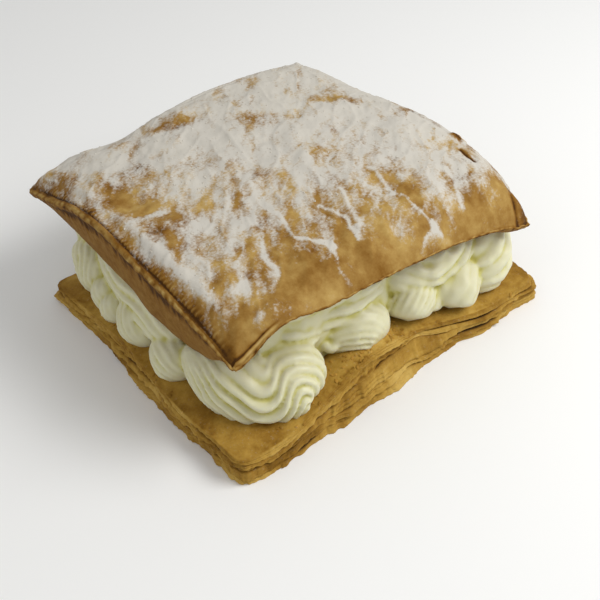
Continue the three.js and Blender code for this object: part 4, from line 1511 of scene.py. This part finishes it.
@dataclass
class Studio:
    """A pale floor, soft light and the camera at the photograph's viewing angle."""

    camera_place: tuple[float, float, float] = (-243.95, -342.96, 375.95)
    yaw: float = 36.36  # degrees clockwise from +Y
    pitch: float = -42.47
    roll: float = -3.97
    lens_per_width: float = 1.6426
    sensor: float = 36.0
    floor_tone: str = "F4F4F2"
    floor_half: float = 4.0  # m
    floor_roughness: float = 0.9
    aim_height: float = 40.0  # of the place that the lamps look at, mm
    sky_strength: float = 0.5
    key_place: tuple[float, float, float] = (480, -520, 760)
    key_size: float = 520.0
    key_power: float = 7.2
    fill_place: tuple[float, float, float] = (-640, 60, 620)
    fill_size: float = 700.0
    fill_power: float = 0.5

    def camera(self) -> None:
        """Place the camera."""
        yaw, pitch, roll = (math.radians(a) for a in (self.yaw, self.pitch, self.roll))
        forward = Vector((math.sin(yaw) * math.cos(pitch), math.cos(yaw) * math.cos(pitch), math.sin(pitch)))
        level = forward.cross(Vector((0, 0, 1))).normalized()
        right = level * math.cos(roll) + level.cross(forward) * math.sin(roll)
        up = right.cross(forward)
        data = bpy.data.cameras.new("camera")
        data.sensor_width = self.sensor
        data.lens = self.sensor * self.lens_per_width
        data.clip_start, data.clip_end = 0.01, 20
        made = bpy.data.objects.new("camera", data)
        bpy.context.scene.collection.objects.link(made)
        turned = Matrix((right, up, -forward)).transposed().to_4x4()
        place = (Vector(self.camera_place) + Vector(ORIGIN_SHIFT)) * MM
        made.matrix_world = Matrix.Translation(place) @ turned
        bpy.context.scene.camera = made

    def lamp(self, name: str, place: tuple[float, float, float], size: float, power: float) -> None:
        """Hang a soft square light that looks at the cake."""
        data = bpy.data.lights.new(name, "AREA")
        data.size = size * MM
        data.energy = power
        made = bpy.data.objects.new(name, data)
        bpy.context.scene.collection.objects.link(made)
        made.location = Vector(place) * MM
        look = Vector((0, 0, self.aim_height)) - Vector(place)
        made.rotation_euler = look.to_track_quat("-Z", "Y").to_euler()

    def floor(self) -> None:
        """Lay the pale floor."""
        mesh = bpy.data.meshes.new("floor")
        half = self.floor_half
        corners = [(-half, -half, 0), (half, -half, 0), (half, half, 0), (-half, half, 0)]
        mesh.from_pydata(corners, [], [(0, 1, 2, 3)])
        plane = bpy.data.objects.new("floor", mesh)
        bpy.context.scene.collection.objects.link(plane)
        material, _, shader = new_surface("matt_paper_floor")
        shader.inputs["Base Color"].default_value = linear(self.floor_tone)
        shader.inputs["Roughness"].default_value = self.floor_roughness
        mesh.materials.append(material)

    def build(self) -> None:
        """Build the whole studio."""
        self.camera()
        self.floor()
        self.lamp("key", self.key_place, self.key_size, self.key_power)
        self.lamp("fill", self.fill_place, self.fill_size, self.fill_power)
        world = bpy.data.worlds.new("studio")
        world.use_nodes = True
        backdrop = world.node_tree.nodes["Background"]
        backdrop.inputs["Color"].default_value = (1, 1, 1, 1)
        backdrop.inputs["Strength"].default_value = self.sky_strength
        bpy.context.scene.world = world
        bpy.context.scene.view_settings.view_transform = "Standard"


def report(piece: bpy.types.Object) -> None:
    """Log a piece's triangles and height."""
    triangles = sum(len(p.vertices) - 2 for p in piece.data.polygons)
    top = max(corner[2] for corner in piece.bound_box) / MM
    LOG.info("%s: %d triangles, top at %.1f mm", piece.name, triangles, top)


def main() -> None:
    """Build the studio and every piece of the cake."""
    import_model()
    Studio().build()
    lid = LidPastry()
    base = BasePastry().dress()
    cover = lid.dress()
    crumbs = LooseBits("pastry_crumbs", "crumbs", 12.0, 0.75, 0.5, (1.3, 0.9, 0.45), 4)
    clumps = LooseBits("icing_sugar_clumps", "clumps", 2.6, 0.42, 0.4, (1.1, 0.9, 0.6), 9)
    crumb_crust = PuffPastry("puff_pastry_crumb", ((0.0, "D2AF62"), (0.3, "B58B3D"), (0.6, "85601F")))
    pieces = (
        base, WhippedCream(lid).dress(), cover,
        crumbs.over(base, crumb_crust.material()),
        clumps.over(cover, SievedSugar().material()),
    )
    for piece in pieces:
        report(piece)


if __name__ == "__main__":
    logging.basicConfig(level=logging.INFO)
    main()
